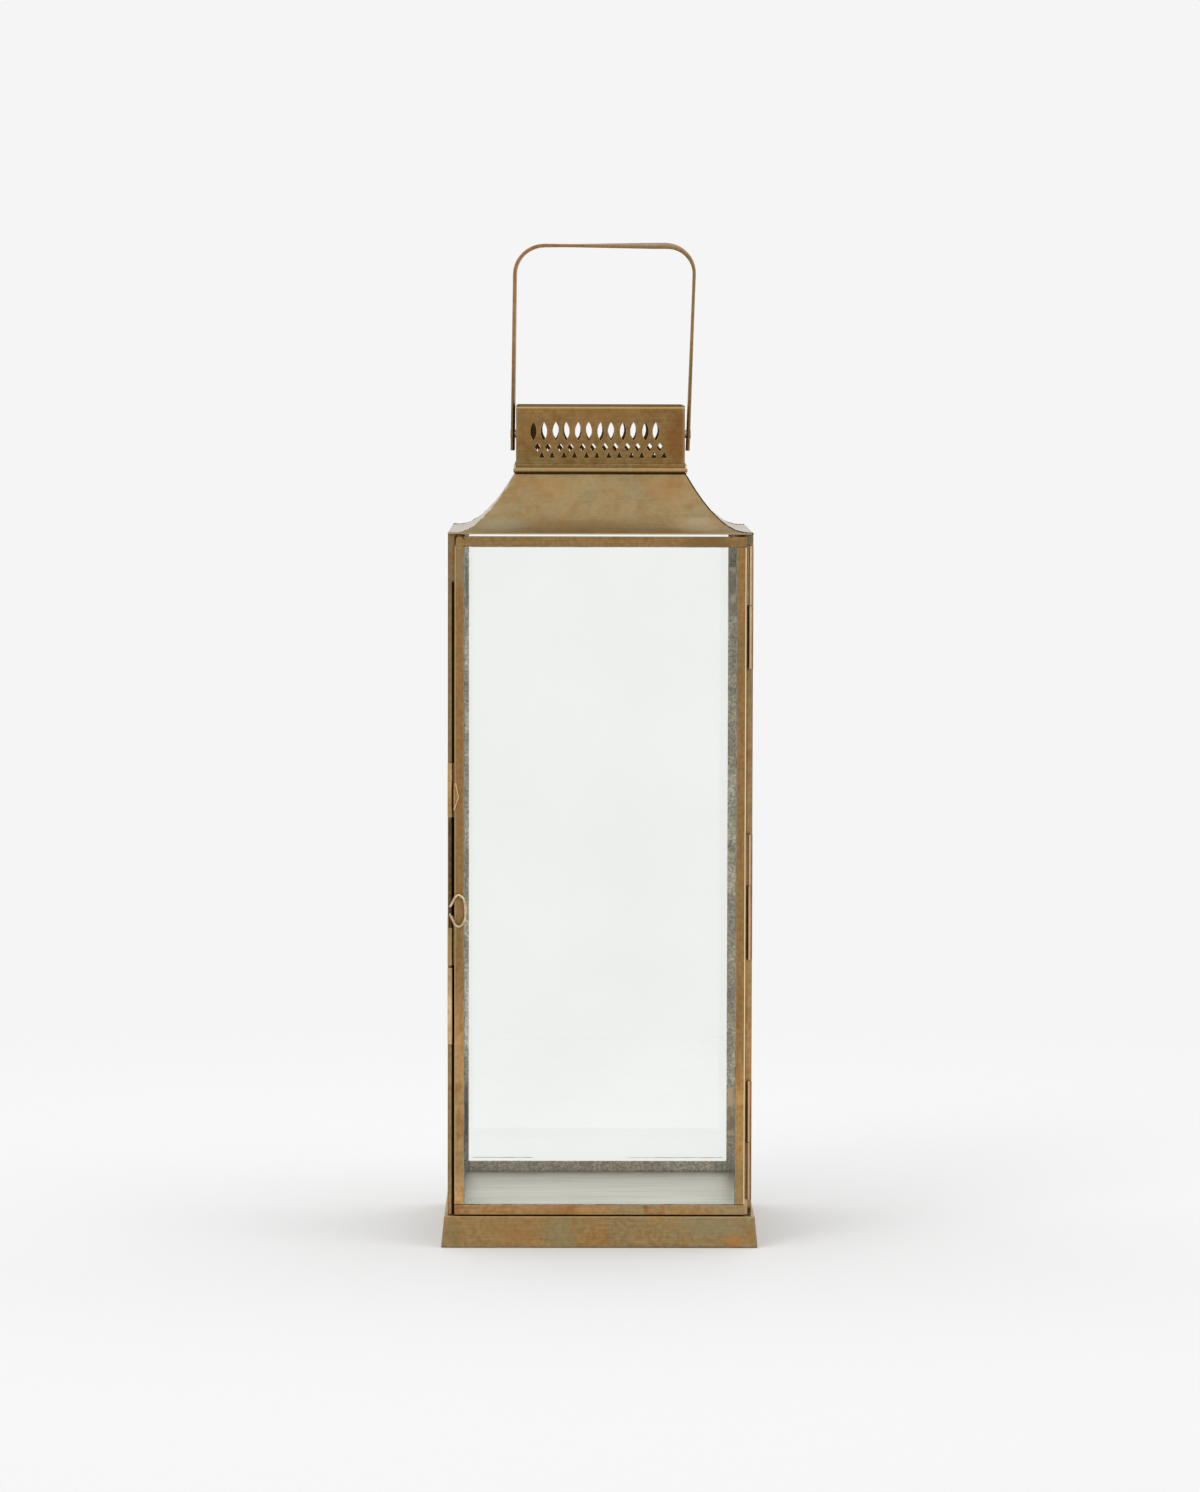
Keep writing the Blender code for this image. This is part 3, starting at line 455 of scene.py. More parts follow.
def zinc(graph, stains):
    """Colour of galvanised sheet: grainy grey spangle with dull brown clouds."""
    cells = graph.add("TexVoronoi", {"Vector": graph.position, "Scale": 700.0}).outputs["Color"]
    flake = graph.add("SeparateColor", {"Color": cells}).outputs[0]
    clouds = graph.noise(scale=48, detail=5, distortion=0.5)
    dirt = graph.noise(scale=21)
    speckle = graph.noise(scale=950, detail=2)
    paint = graph.blend(graph.span(clouds, 0.40, 0.64), colour("dad2b9"), colour("b8ad92"))
    paint = graph.blend(graph.span(dirt, 0.52, 0.70, to_high=0.6), paint, colour("8f8062"))
    paint = graph.stained(paint, stains)
    spangle = graph.span(flake, 0, 1, to_low=0.82, to_high=1.12)
    grain = graph.span(speckle, 0.35, 0.65, to_low=0.66, to_high=1.24)
    return graph.tint(paint, graph.math("MULTIPLY", spangle, grain))


def aged_brass(name, low, high, heights=BODY_HEIGHTS, olive="7f7048", rust="9a6636", worn="c8ab7e",
               patches=0.5, cloud=19.0, grain=UPRIGHT, grit=0.13, streak=0.08, grime_and_shade=0.75, rough=(0.34, 0.52),
               stains=(), lines=(), lining=None, lining_stains=()):
    """Patinated brass, from the low colour at the first height to the high one at the second.

    Olive is the colour of the clouds, rust that of the patches and worn that of the edges. Cloud is the scale
    of the clouds, grit the contrast of the fine mottling and streak that of the fine streaks along the grain.
    The lining is the colour of the faces that look inwards, or "zinc" for bare sheet with stains of its own.
    Stains are rows as in the tables above, and lines are made by mark.
    """
    graph = Graph(name)
    clouds = graph.noise(scale=cloud)
    spots = graph.noise(scale=85, detail=5, distortion=0.9, offset=(3, 1, 2))
    mottle = graph.noise(scale=460, detail=6)
    streaks = graph.noise(scale=1500, detail=2, stretch=grain)
    dents = graph.noise(scale=34, detail=2)
    paint = graph.blend(graph.span(graph.axis("Z"), *heights), colour(low), colour(high))
    paint = graph.blend(graph.span(clouds, 0.46, 0.66, to_high=0.55), paint, colour(olive))
    paint = graph.blend(graph.span(spots, 0.52, 0.68, to_high=patches), paint, colour(rust))
    mottled = graph.spread(mottle, 1 - grit, 1 + grit)
    streaked = graph.spread(streaks, 1 - streak, 1 + streak)
    paint = graph.tint(paint, graph.math("MULTIPLY", mottled, streaked))
    patchy = graph.span(mottle, 0.30, 0.60, to_low=0.25, to_high=0.85)
    wear = graph.math("MULTIPLY", graph.edges(WEAR_REACH), patchy)
    paint = graph.blend(wear, paint, colour(worn))
    # grime and painted shade: dark colour laid in corners and narrow gaps, where shade falls
    paint = graph.over(paint, graph.crevices(BRASS_GRIME_AND_SHADE), "2c210f", grime_and_shade)
    if lining == "zinc":
        paint = graph.blend(graph.inside(), paint, zinc(graph, lining_stains))
    elif lining:
        paint = graph.blend(graph.inside(), paint, colour(lining))
    paint = graph.stained(paint, stains)
    paint = graph.lined(paint, lines)
    normal = graph.bump((dents, DENT_DEPTH), (mottle, MOTTLE_DEPTH), (streaks, STREAK_DEPTH))
    return graph.finish(paint, graph.spread(spots, *rough), normal=normal)


def plain_metal(name, light, dark, scale=240.0, rough=(0.3, 0.5), metallic=1.0):
    """Small pieces: two tones mixed in fine clouds, with grime and painted shade in the corners."""
    graph = Graph(name)
    clouds = graph.noise(scale=scale, detail=5)
    paint = graph.blend(graph.span(clouds, 0.38, 0.62), colour(light), colour(dark))
    # grime and painted shade in corners and gaps
    paint = graph.over(paint, graph.crevices(SMALL_GRIME_AND_SHADE), "2a1f10", 0.6)
    normal = graph.bump((graph.noise(scale=1100, detail=3), SMALL_DEPTH))
    return graph.finish(paint, graph.spread(clouds, *rough), metallic, normal)


def floor_zinc():
    """Floor plate: pale sheet with fine streaks across, duller towards the back, with grime and painted shade
    in its corners.
    """
    graph = Graph("floor_zinc")
    streaks = graph.noise(scale=26, detail=5, stretch=(1, 34, 1))
    dents = graph.noise(scale=60, detail=3)
    paint = graph.blend(graph.span(streaks, 0.36, 0.64), colour("eae8da"), colour("d8d5c5"))
    paint = graph.over(paint, graph.span(graph.axis("Y"), *FLOOR_DULL), "aaa898", 0.7)
    # grime and painted shade where the plate meets the panes and rails
    paint = graph.over(paint, graph.crevices(FLOOR_GRIME_AND_SHADE), "4d4a41", 0.8)
    normal = graph.bump((streaks, FLOOR_STREAK_DEPTH), (dents, FLOOR_DENT_DEPTH))
    return graph.finish(paint, graph.spread(streaks, 0.36, 0.5), normal=normal)


def clear_glass():
    """Window glass with a breath of green, a little uneven."""
    graph = Graph("window_glass")
    haze = graph.noise(scale=14, detail=3)
    paint = graph.blend(graph.span(haze, 0.35, 0.65), (0.958, 0.970, 0.955, 1), (0.978, 0.986, 0.974, 1))
    graph.shader.inputs["Transmission Weight"].default_value = 1.0
    graph.shader.inputs["IOR"].default_value = 1.45
    return graph.finish(paint, roughness=0.0, metallic=0.0)


def shade_by_angle():
    """Modifier tree that shades faces smooth and keeps edges sharper than SHARP_ANGLE."""
    tree = bpy.data.node_groups.new("shade_by_angle", "GeometryNodeTree")
    tree.interface.new_socket("Geometry", in_out="INPUT", socket_type="NodeSocketGeometry")
    tree.interface.new_socket("Geometry", in_out="OUTPUT", socket_type="NodeSocketGeometry")
    start = tree.nodes.new("NodeGroupInput")
    end = tree.nodes.new("NodeGroupOutput")
    faces = tree.nodes.new("GeometryNodeSetShadeSmooth")
    edges = tree.nodes.new("GeometryNodeSetShadeSmooth")
    edges.domain = "EDGE"
    angle = tree.nodes.new("GeometryNodeInputMeshEdgeAngle")
    over = tree.nodes.new("FunctionNodeCompare")
    over.operation = "GREATER_THAN"
    over.inputs["B"].default_value = SHARP_ANGLE
    edges.inputs["Shade Smooth"].default_value = False
    tree.links.new(start.outputs[0], faces.inputs["Geometry"])
    tree.links.new(faces.outputs[0], edges.inputs["Geometry"])
    tree.links.new(angle.outputs["Unsigned Angle"], over.inputs["A"])
    tree.links.new(over.outputs[0], edges.inputs["Selection"])
    tree.links.new(edges.outputs[0], end.inputs[0])
    return tree


SHADING = shade_by_angle()


def dress(names, material, bevel=SHEET_EDGE):
    """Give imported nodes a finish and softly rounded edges."""
    for name in names:
        node = NODES[name]
        node.data.materials[0] = material
        weld = node.modifiers.new("weld", "WELD")
        weld.merge_threshold = WELD
        flat = node.modifiers.new("flat", "DECIMATE")
        flat.decimate_type = "DISSOLVE"
        flat.angle_limit = FLAT_ANGLE
        shade = node.modifiers.new("shade", "NODES")
        shade.node_group = SHADING
        if bevel:
            edge = node.modifiers.new("edge", "BEVEL")
            edge.width = bevel
            edge.segments = BEVEL_STEPS
            edge.limit_method = "ANGLE"
            edge.angle_limit = SHARP_ANGLE
            edge.harden_normals = True


def add_piece(name, shape, material, body):
    """Make an object from a bmesh and let it ride on a body."""
    mesh = bpy.data.meshes.new(name)
    bmesh.ops.recalc_face_normals(shape, faces=shape.faces)
    shape.to_mesh(mesh)
    shape.free()
    mesh.shade_smooth()
    mesh.set_sharp_from_angle(angle=SHARP_ANGLE)
    mesh.materials.append(material)
    piece = bpy.data.objects.new(name, mesh)
    bpy.context.scene.collection.objects.link(piece)
    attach(piece, body)
    return piece


def loft(rings, closed=False):
    """Skin a row of rings of points, with capped ends unless it is closed."""
    shape = bmesh.new()
    rows = [[shape.verts.new(point) for point in ring] for ring in rings]
    pairs = list(zip(rows, rows[1:]))
    if closed:
        pairs.append((rows[-1], rows[0]))
    for first, second in pairs:
        for i in range(len(first)):
            j = (i + 1) % len(first)
            shape.faces.new((first[i], first[j], second[j], second[i]))
    if not closed:
        shape.faces.new(rows[0])
        shape.faces.new(rows[-1])
    return shape


def bead(points, radius, wobble=0.25, closed=False):
    """Run of solder or putty along points, with a radius that is uneven by the share wobble."""
    rings = []
    count = len(points)
    for i, point in enumerate(points):
        before = points[i - 1] if i or closed else point
        after = points[(i + 1) % count] if i < count - 1 or closed else point
        way = (after - before).normalized()
        side = way.orthogonal().normalized()
        other = way.cross(side)
        size = radius * random.uniform(1 - wobble, 1 + wobble)
        ring = []
        for step in range(BEAD_SIDES):
            turn = 2 * math.pi * step / BEAD_SIDES
            ring.append(point + size * (math.cos(turn) * side + math.sin(turn) * other))
        rings.append(ring)
    return loft(rings, closed)


def between(start, end, count):
    """Evenly spaced points from start to end."""
    return [start.lerp(end, i / (count - 1)) for i in range(count)]


def rounded_bar(half_width, half_height, radius):
    """Outline of a flat bar with rounded corners, from its right side over the top to its left side."""
    points = []
    for quarter, (x, y) in enumerate(((1, 1), (-1, 1), (-1, -1), (1, -1))):
        for step in range(CORNER_STEPS + 1):
            turn = math.pi / 2 * (quarter + step / CORNER_STEPS)
            points.append((x * (half_width - radius) + radius * math.cos(turn),
                           y * (half_height - radius) + radius * math.sin(turn)))
    return points


def roof_line(count):
    """Outer line of a roof panel from its top edge to its eave, as (outward, z) points."""
    low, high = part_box("roof_panel_front")
    collar_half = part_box("vent_collar")[1].x
    top = Vector((collar_half + SEAT + ROOF_SHEET * math.sin(ROOF_TOP_ANGLE), high.z))
    eave = Vector((-low.y, low.z + ROOF_SHEET * math.cos(ROOF_EAVE_ANGLE)))
    top_way = Vector((math.cos(ROOF_TOP_ANGLE), -math.sin(ROOF_TOP_ANGLE)))
    eave_way = Vector((math.cos(ROOF_EAVE_ANGLE), -math.sin(ROOF_EAVE_ANGLE)))
    handles = (top, top + ROOF_TOP_PULL * top_way, eave - ROOF_EAVE_PULL * eave_way, eave)
    points = []
    for i in range(count):
        t = i / (count - 1)
        s = 1 - t
        shares = (s ** 3, 3 * s * s * t, 3 * s * t * t, t ** 3)
        points.append(sum((share * handle for share, handle in zip(shares, handles)), Vector((0, 0))))
    return points


def build_hip_beads(material, bright, dark):
    """Solder along the four hips of the roof, with a painted highlight on the front left and painted shade on
    the front right.
    """
    line = roof_line(HIP_POINTS)
    # painted light and shade: a pale bead for the lit front left hip, a dark one for the shaded front right
    # hip
    tones = {"front_left": bright, "front_right": dark}
    for corner, x, y in TURNS:
        points = [Vector((x * (out - HIP_BEAD), y * (out - HIP_BEAD), z - HIP_BEAD / 4)) for out, z in line]
        seam = bead(points, HIP_BEAD)
        add_piece(f"hip_solder_{corner}", seam, tones.get(corner, material), "frame")


def build_moulding_beads(material):
    """Pale solder at the mitred corners of the collar's moulding, its paleness partly a painted highlight."""
    low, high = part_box("collar_moulding_front")
    out = high.x - MOULDING_BEAD
    for corner, x, y in TURNS:
        start = Vector((x * out, y * out, low.z + MOULDING_BEAD))
        end = Vector((x * out, y * out, high.z - MOULDING_BEAD))
        seam = bead(between(start, end, MOULDING_POINTS), MOULDING_BEAD)
        add_piece(f"moulding_solder_{corner}", seam, material, "frame")


def build_skirt_beads(material):
    """Solder along the mitred corners of the base."""
    low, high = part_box("base_skirt_front")
    top = -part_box("post_back_left")[0].x + SKIRT_LEDGE - SKIRT_BEAD
    foot = high.x - SKIRT_BEAD
    for corner, x, y in TURNS:
        start = Vector((x * top, y * top, high.z - SKIRT_BEAD))
        end = Vector((x * foot, y * foot, low.z + SKIRT_BEAD))
        seam = bead(between(start, end, SKIRT_POINTS), SKIRT_BEAD)
        add_piece(f"base_solder_{corner}", seam, material, "frame")


def build_rail_beads(material):
    """Solder that closes the joints between the bottom rails and the posts."""
    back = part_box("bottom_rail_back")[1].y - RAIL_BEAD
    low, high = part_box("bottom_rail_right")
    front_end = (low.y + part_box("post_front_right")[1].y) / 2
    back_end = (high.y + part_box("post_back_right")[0].y) / 2
    out = high.x - RAIL_BEAD
    for side, x in (("right", 1), ("left", -1)):
        joints = (
            (f"back_{side}", x * back_end, back),
            (f"{side}_back", x * out, back_end),
            (f"{side}_front", x * out, front_end),
        )
        for name, across, along in joints:
            start = Vector((across, along, low.z))
            end = Vector((across, along, high.z))
            seam = bead(between(start, end, RAIL_POINTS), RAIL_BEAD, wobble=0.1)
            add_piece(f"rail_solder_{name}", seam, material, "frame")


def build_glazing_bead(material):
    """Thin line of putty round the door's pane, behind the front lips of the door."""
    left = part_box("door_stile_left")[1].x
    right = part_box("door_stile_right")[0].x
    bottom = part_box("door_rail_bottom")[1].z
    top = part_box("door_rail_top")[0].z
    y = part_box("door_glass")[0].y - GLAZING_BEAD * GLAZING_SINK
    corners = [Vector((x, y, z)) for x, z in ((left, bottom), (right, bottom), (right, top), (left, top))]
    points = []
    for start, end in zip(corners, corners[1:] + corners[:1]):
        points += between(start, end, GLAZING_POINTS)[:-1]
    putty = bead(points, GLAZING_BEAD, wobble=0.2, closed=True)
    add_piece("door_glazing_bead", putty, material, "door")


def build_sealant(material):
    """Faint runs of sealant along the foot of the back pane."""
    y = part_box("glass_pane_back")[0].y - SEALANT_BEAD / 2
    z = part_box("bottom_rail_back")[1].z + SEALANT_RISE
    for name, start, end in SEALANT_RUNS:
        points = between(Vector((start, y, z)), Vector((end, y, z)), SEALANT_POINTS)
        run = bead(points, SEALANT_BEAD, wobble=0.5)
        add_piece(f"pane_sealant_{name}", run, material, "frame")


def strap_line(pivot_z, left, right, top, foot):
    """Middle line of the handle, from the foot of the left leg to that of the right."""
    bend = HANDLE_BEND - STRAP / 2
    straight = top - bend
    heights = (foot, pivot_z, (foot + straight) / 2, straight)
    turns = [math.pi / 2 * step / BEND_STEPS for step in range(1, BEND_STEPS + 1)]
    points = [Vector((left, 0, z)) for z in heights]
    for turn in turns:
        points.append(Vector((left + bend - bend * math.cos(turn), 0, straight + bend * math.sin(turn))))
    points += between(Vector((left + bend, 0, top)), Vector((right - bend, 0, top)), BEND_STEPS)[1:]
    for turn in turns:
        points.append(Vector((right - bend + bend * math.sin(turn), 0, straight + bend * math.cos(turn))))
    points += [Vector((right, 0, z)) for z in heights[-2::-1]]
    leaning = []
    for x, y, z in points:
        lean = LEFT_LEAN + (RIGHT_LEAN - LEFT_LEAN) * (x - left) / (right - left)
        leaning.append(Vector((x + lean * (z - pivot_z) / (top - pivot_z), y, z)))
    return leaning


def twist_at(share):
    """Twist of the strap at a share of its length."""
    for (start, first), (end, second) in zip(TWISTS, TWISTS[1:]):
        if share <= end:
            return math.radians(first + (second - first) * (share - start) / (end - start))
    return math.radians(TWISTS[-1][1])


def build_handle():
    """Flat strap with rounded edges, bent and twisted as by hand, its left leg dark beside the collar."""
    low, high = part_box("handle_strap")
    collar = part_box("vent_collar")[1]
    left = -collar.x - LEFT_GAP - STRAP / 2
    right = collar.x + RIGHT_GAP + STRAP / 2
    shaded = mark("43341d", 0.85, ("X", left, left + STRAP, EDGE_LINE), ("Z", low.z, collar.z, STRAP))
    material = aged_brass("handle_brass", "86623c", "987248", heights=(collar.z, collar.z + STRAP_FADE),
                          worn="b58f5c", patches=0.35, lines=(shaded,))
    pivot_z = next(joint for joint in frame["joints"] if joint["name"] == "handle_swing")["pos_m"][2]
    line = strap_line(pivot_z, left, right, high.z - STRAP / 2, low.z)
    lengths = [0.0]
    for before, after in zip(line, line[1:]):
        lengths.append(lengths[-1] + (after - before).length)
    section = rounded_bar(STRAP_WIDTH / 2, STRAP / 2, STRAP_EDGE)
    across = Vector((0, 1, 0))
    rings = []
    for i, point in enumerate(line):
        way = (line[min(i + 1, len(line) - 1)] - line[max(i - 1, 0)]).normalized()
        turn = Matrix.Rotation(twist_at(lengths[i] / lengths[-1]), 3, way)
        flat = turn @ across
        thick = turn @ across.cross(way).normalized()
        rings.append([point + u * flat + v * thick for u, v in section])
    piece = add_piece("handle_strap_bent", loft(rings), material, "handle")
    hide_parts("handle_strap")


def build_leaf(material, bright):
    """Soldered leaf of the upper bolt guide, with a painted highlight along its rim, on the front of the
    door.
    """
    guide_low, guide_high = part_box("bolt_guide_upper")
    edge, front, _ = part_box("door_stile_left")[0]
    length = guide_high.z - guide_low.z
    foot, tip, head = [guide_low.z + share * length for share in LEAF_SHARES]
    inner = edge - LEAF_INNER
    outline = [(inner, foot), (edge + LEAF_TIP, tip), (edge + LEAF_HEAD, head), (inner, head)]
    rings = [[Vector((x, y, z)) for x, z in outline] for y in (front - LEAF_RISE, front + LEAF_SINK)]
    add_piece("bolt_guide_leaf", loft(rings), material, "door")
    head_end, tip_end, foot_end = [Vector((x, front - LEAF_BEAD, z)) for x, z in reversed(outline[:3])]
    rim = between(head_end, tip_end, LEAF_POINTS) + between(tip_end, foot_end, LEAF_POINTS)[1:]
    # painted highlight along the rim
    add_piece("bolt_guide_rim", bead(rim, LEAF_BEAD, wobble=0.3), bright, "door")


def build_corner_tab(material, dark):
    """Small lapped tab with rounded corners at the door's upper left corner, and a dark line of painted shade
    over it.
    """
    low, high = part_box("door_stile_left")[0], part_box("door_rail_top")[1]
    middle = Vector((low.x + TAB_WIDTH / 2 + TAB_SHEET, 0, high.z + TAB_RISE - TAB_HEIGHT / 2))
    outline = rounded_bar(TAB_WIDTH / 2, TAB_HEIGHT / 2, TAB_CORNER)
    rings = [[middle + Vector((x, y, z)) for x, z in outline] for y in (low.y - TAB_SHEET, low.y + TAB_SHEET)]
    add_piece("door_corner_tab", loft(rings), material, "door")
    over_the_top = rings[0][:len(outline) // 2 + 1]
    # painted shade: a dark bead along the top of the tab
    add_piece("door_corner_shade_line", bead(over_the_top, TAB_SHADE_LINE, wobble=0.3), dark, "door")


def dress_base():
    """Flared skirt with a painted highlight along its top."""
    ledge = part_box("base_skirt_front")[1].z
    # painted highlight along the top edge of the skirt
    lip = mark("cfae7c", 0.6, ("Z", ledge - 2 * EDGE_LINE, ledge, EDGE_LINE))
    base = aged_brass("base_brass", "9b7f54", "9b7f54", heights=(0, ledge), olive="8c8160", rust="a97b45",
                      patches=0.6, cloud=30.0, grain=LEVEL, grit=0.15, stains=BASE_STAINS, lines=(lip,),
                      lining="6c5c3c")
    dress([f"base_skirt_{side}" for side in SIDES], base, SKIRT_EDGE)


def dress_posts():
    """Posts, bare inside, with painted shade along the outer edge of the front ones, a bright streak on the
    post with the hinges and a painted shadow in the slit beside the door on the post with the bolt.
    """
    post = aged_brass("post_brass", "a8895f", "8c7049", patches=0.4, lining="zinc", lining_stains=ZINC_STAINS_AND_LIGHT)
    dress(["post_back_right", "post_back_left"], post)

    low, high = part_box("post_front_right")
    front = front_band(low.y)
    side = high.x
    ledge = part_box("base_skirt_front")[1].z
    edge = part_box("door_stile_right")[1].x
    # painted shade: a dark line along the post's outer front edge
    outer = mark("5e4a2a", 0.6, ("X", side - 2 * EDGE_LINE, side, EDGE_LINE), front)
    streak = mark("dcc093", 0.7, ("X", edge, edge + STREAK_WIDTH, EDGE_LINE),
                  ("Z", ledge, ledge + STREAK_HEIGHT, LINE_FADE))
    hinge_post = aged_brass("hinge_post_brass", "b08a5a", "947a52", patches=0.4, stains=POST_STAINS_AND_SHADE,
                            lines=(outer, streak), lining="zinc")
    dress(["post_front_right"], hinge_post)

    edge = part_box("door_stile_left")[0].x
    # painted shade along the outer front edge, as on the other front post
    outer = mark("5e4a2a", 0.6, ("X", -side, -side + 2 * EDGE_LINE, EDGE_LINE), front)
    # painted shadow: a dark band on the post along the door's edge, where the gap lies in shade
    slit = mark("241a09", 1.0, ("X", edge - SHADOW_SLIT, edge + SHADOW_SLIT, EDGE_LINE), ("Z", 0, SLIT_TOP, LINE_FADE))
    bolt_post = aged_brass("bolt_post_brass", "a8895f", "887049", patches=0.4, lines=(outer, slit),
                           lining="zinc")
    dress(["post_front_left"], bolt_post)


def dress_inside():
    """Rails, glass clips and floor plate."""
    rails = [name for name in NODES if name.startswith(("bottom_rail", "top_rail"))]
    rail = aged_brass("rail_brass", "94794f", "8a6f47", grain=LEVEL, lining="zinc", lining_stains=RAIL_STAINS)
    dress(rails, rail)
    for corner in CORNERS:
        for level in LEVELS:
            rusty = (corner, level) == RUSTY_CLIP
            light, dark = RUST_TONES if rusty else CLIP_TONES[level]
            clip = plain_metal(f"clip_iron_{corner}_{level}", light, dark, CLIP_GRAIN, rough=(0.45, 0.6),
                               metallic=0.0 if rusty else 1.0)
            dress([f"glass_clip_{corner}_{level}"], clip)
    dress(["floor_plate"], floor_zinc())


def dress_door():
    """Rails, stiles and the painted highlights along the outer edges of the stiles."""
    left, front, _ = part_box("door_stile_left")[0]
    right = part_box("door_stile_right")[1].x
    # painted highlights along the outer edges of the stiles
    left_edge_highlight = mark("c9ac7e", 0.8, ("X", left, left + 2 * EDGE_LINE, EDGE_LINE), front_band(front))
    right_edge_highlight = mark("e6d2aa", 1.0, ("X", right - 3 * EDGE_LINE, right, EDGE_LINE), front_band(front))
    finishes = {
        "door_stile_left": aged_brass("stile_left_brass", "c49b69", "947046", heights=LEFT_FADE,
                                      stains=LEFT_STILE_STAINS, lines=(left_edge_highlight,), lining="zinc"),
        "door_stile_right": aged_brass("stile_right_brass", "c0955a", "967348", heights=RIGHT_FADE,
                                       lines=(right_edge_highlight,), lining="zinc"),
        "door_rail_bottom": aged_brass("door_bottom_brass", "ab8556", "ab8556", olive="968a68", rust="9b6238",
                                       patches=0.7, grain=LEVEL, lining="zinc"),
        "door_rail_top": aged_brass("door_top_brass", "92744a", "92744a", rust="93693c", patches=0.3,
                                    grain=LEVEL, stains=TOP_RAIL_STAINS, lining="zinc"),
    }
    for name, finish in finishes.items():
        dress([name], finish, DOOR_EDGE)


def dress_roof():
    """Roof panels, with a worn eave, a painted shade line along the front right hip, and smoother flanks
    painted paler, partly as a painted reflection.
    """
    low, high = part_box("roof_panel_front")
    heights = (low.z, (low.z + high.z) / 2)
    eave = mark("b79c6e", 0.5, ("Y", low.y, low.y + RIM_LINE, EDGE_LINE))
    # painted shade: dark line along the front right hip
    hip = mark("2a1d0e", 0.9, (RIGHT_HIP, -HIP_LINE, HIP_LINE, EDGE_LINE), ("Y", low.y, 0, EDGE_LINE))
    roof = aged_brass("roof_brass", "957f5a", "a18b63", heights=heights, olive="948a69", rust="a37d4b",
                      cloud=55.0, grain=LEVEL, grit=0.05, streak=0.03, rough=(0.52, 0.64),
                      stains=ROOF_STAINS, lines=(eave, hip), lining="7d745f")
    dress(["roof_panel_front", "roof_panel_back"], roof, FINE_EDGE)
    # the flanks are a paler copy of the roof's brass, partly a painted reflection of the bright background at
    # a grazing angle
    flank = aged_brass("roof_flank_brass", "a9987a", "ab9265", heights=heights, olive="a39c82", rust="9d7f52",
                       patches=0.3, grain=LEVEL, rough=(0.22, 0.32), stains=FLANK_STAINS, lining="7d745f")
    dress(["roof_panel_left", "roof_panel_right"], flank, FINE_EDGE)


def dress_collar():
    """Pierced collar with worn edges, painted highlights along its top and side edges and a painted shade
    line along its top, and the moulding round its foot with painted light and shade.
    """
    low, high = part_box("vent_collar")
    front = front_band(low.y)
    lines = (
        # painted highlight below the front of the top rim, and painted shade along the very top for the
        # shaded inside of the back wall
        mark("c4a66e", 0.8, ("Z", high.z - 2 * RIM_LINE, high.z - RIM_LINE, EDGE_LINE)),
        mark("6a5026", 0.8, ("Z", high.z - RIM_LINE / 2, high.z, EDGE_LINE)),
        # painted highlights along the left and right edges
        mark("b3935c", 0.6, ("X", low.x, low.x + RIM_LINE, EDGE_LINE), front),
        mark("bfa36d", 0.7, ("X", high.x - RIM_LINE, high.x, EDGE_LINE), front),
    )
    collar = aged_brass("collar_brass", "836539", "8d6e45", heights=(low.z, high.z), rust="7a5429",
                        patches=0.4, grain=LEVEL, grime_and_shade=0.35, stains=COLLAR_STAINS, lines=lines,
                        lining="5b4829")
    dress(["vent_collar"], collar, COLLAR_EDGE)

    low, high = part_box("collar_moulding_front")
    # painted shadow under the moulding, a painted highlight on its bead and painted shade in its groove
    lines = share_marks("Z", low.z, high.z, MOULDING_LIGHT_AND_SHADE)
    moulding = aged_brass("moulding_brass", "8a6a40", "8a6a40", rust="8f6a3c", patches=0.35, grain=LEVEL,
                          grime_and_shade=0.4, lines=lines)
    dress([f"collar_moulding_{side}" for side in SIDES], moulding, FINE_EDGE)


def dress_hinges():
    """Barrels, with a painted highlight on one side and painted shade on the other, and the pins in them."""
    low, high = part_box("hinge_knuckle_post_upper")
    lines = share_marks("X", low.x, high.x, BARREL_LIGHT_AND_SHADE)
    barrel = aged_brass("barrel_brass", "b57f4e", "b39a74", heights=BARREL_HEIGHTS, patches=0.3, lines=lines)
    knuckles = [f"hinge_knuckle_{part}_{hinge}" for part in ("door", "post") for hinge in HINGES]
    dress(knuckles, barrel, FINE_EDGE)
    pin = plain_metal("dark_brass_worn", "5d4626", "3b2c17")
    dress([f"hinge_pin_{hinge}" for hinge in HINGES], pin, FINE_EDGE)


def dress_latch():
    """Guides, keeper, bolt rod and pull ring."""
    guide = aged_brass("guide_brass", "b8935f", "c4a06c", patches=0.3)
    dress([f"bolt_guide_{level}" for level in LEVELS], guide, FINE_EDGE)
    keeper = aged_brass("keeper_brass", "cfb184", "cfb184", worn="e6d2a8", patches=0.25)
    dress(["bolt_keeper"], keeper, FINE_EDGE)
    dress(["bolt_rod"], plain_metal("rod_brass", "6f5831", "564220"), FINE_EDGE)
    dress(["bolt_ring"], plain_metal("ring_brass", "d8c6a2", "b59a72", rough=(0.18, 0.32)), NO_EDGE)


def dress_rivets():
    """Rivets of the handle, painted near white between the legs of the strap as a painted reflection of the
    bright background.
    """
    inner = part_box("vent_collar")[1].x + RIGHT_GAP
    # painted reflection: near white between the legs, so the rivets read like the bright background
    pale_reflection = mark("e6e4da", 1.0, ("X", -inner, inner, EDGE_LINE))
    rivet = aged_brass("rivet_brass", "8a6a44", "8a6a44", grime_and_shade=0, lines=(pale_reflection,))
    dress(["handle_rivet_left", "handle_rivet_right"], rivet, FINE_EDGE)


def dress_glass():
    """Three fixed panes and the pane in the door."""
    dress(["glass_pane_left", "glass_pane_right", "glass_pane_back", "door_glass"], clear_glass(), PANE_EDGE)


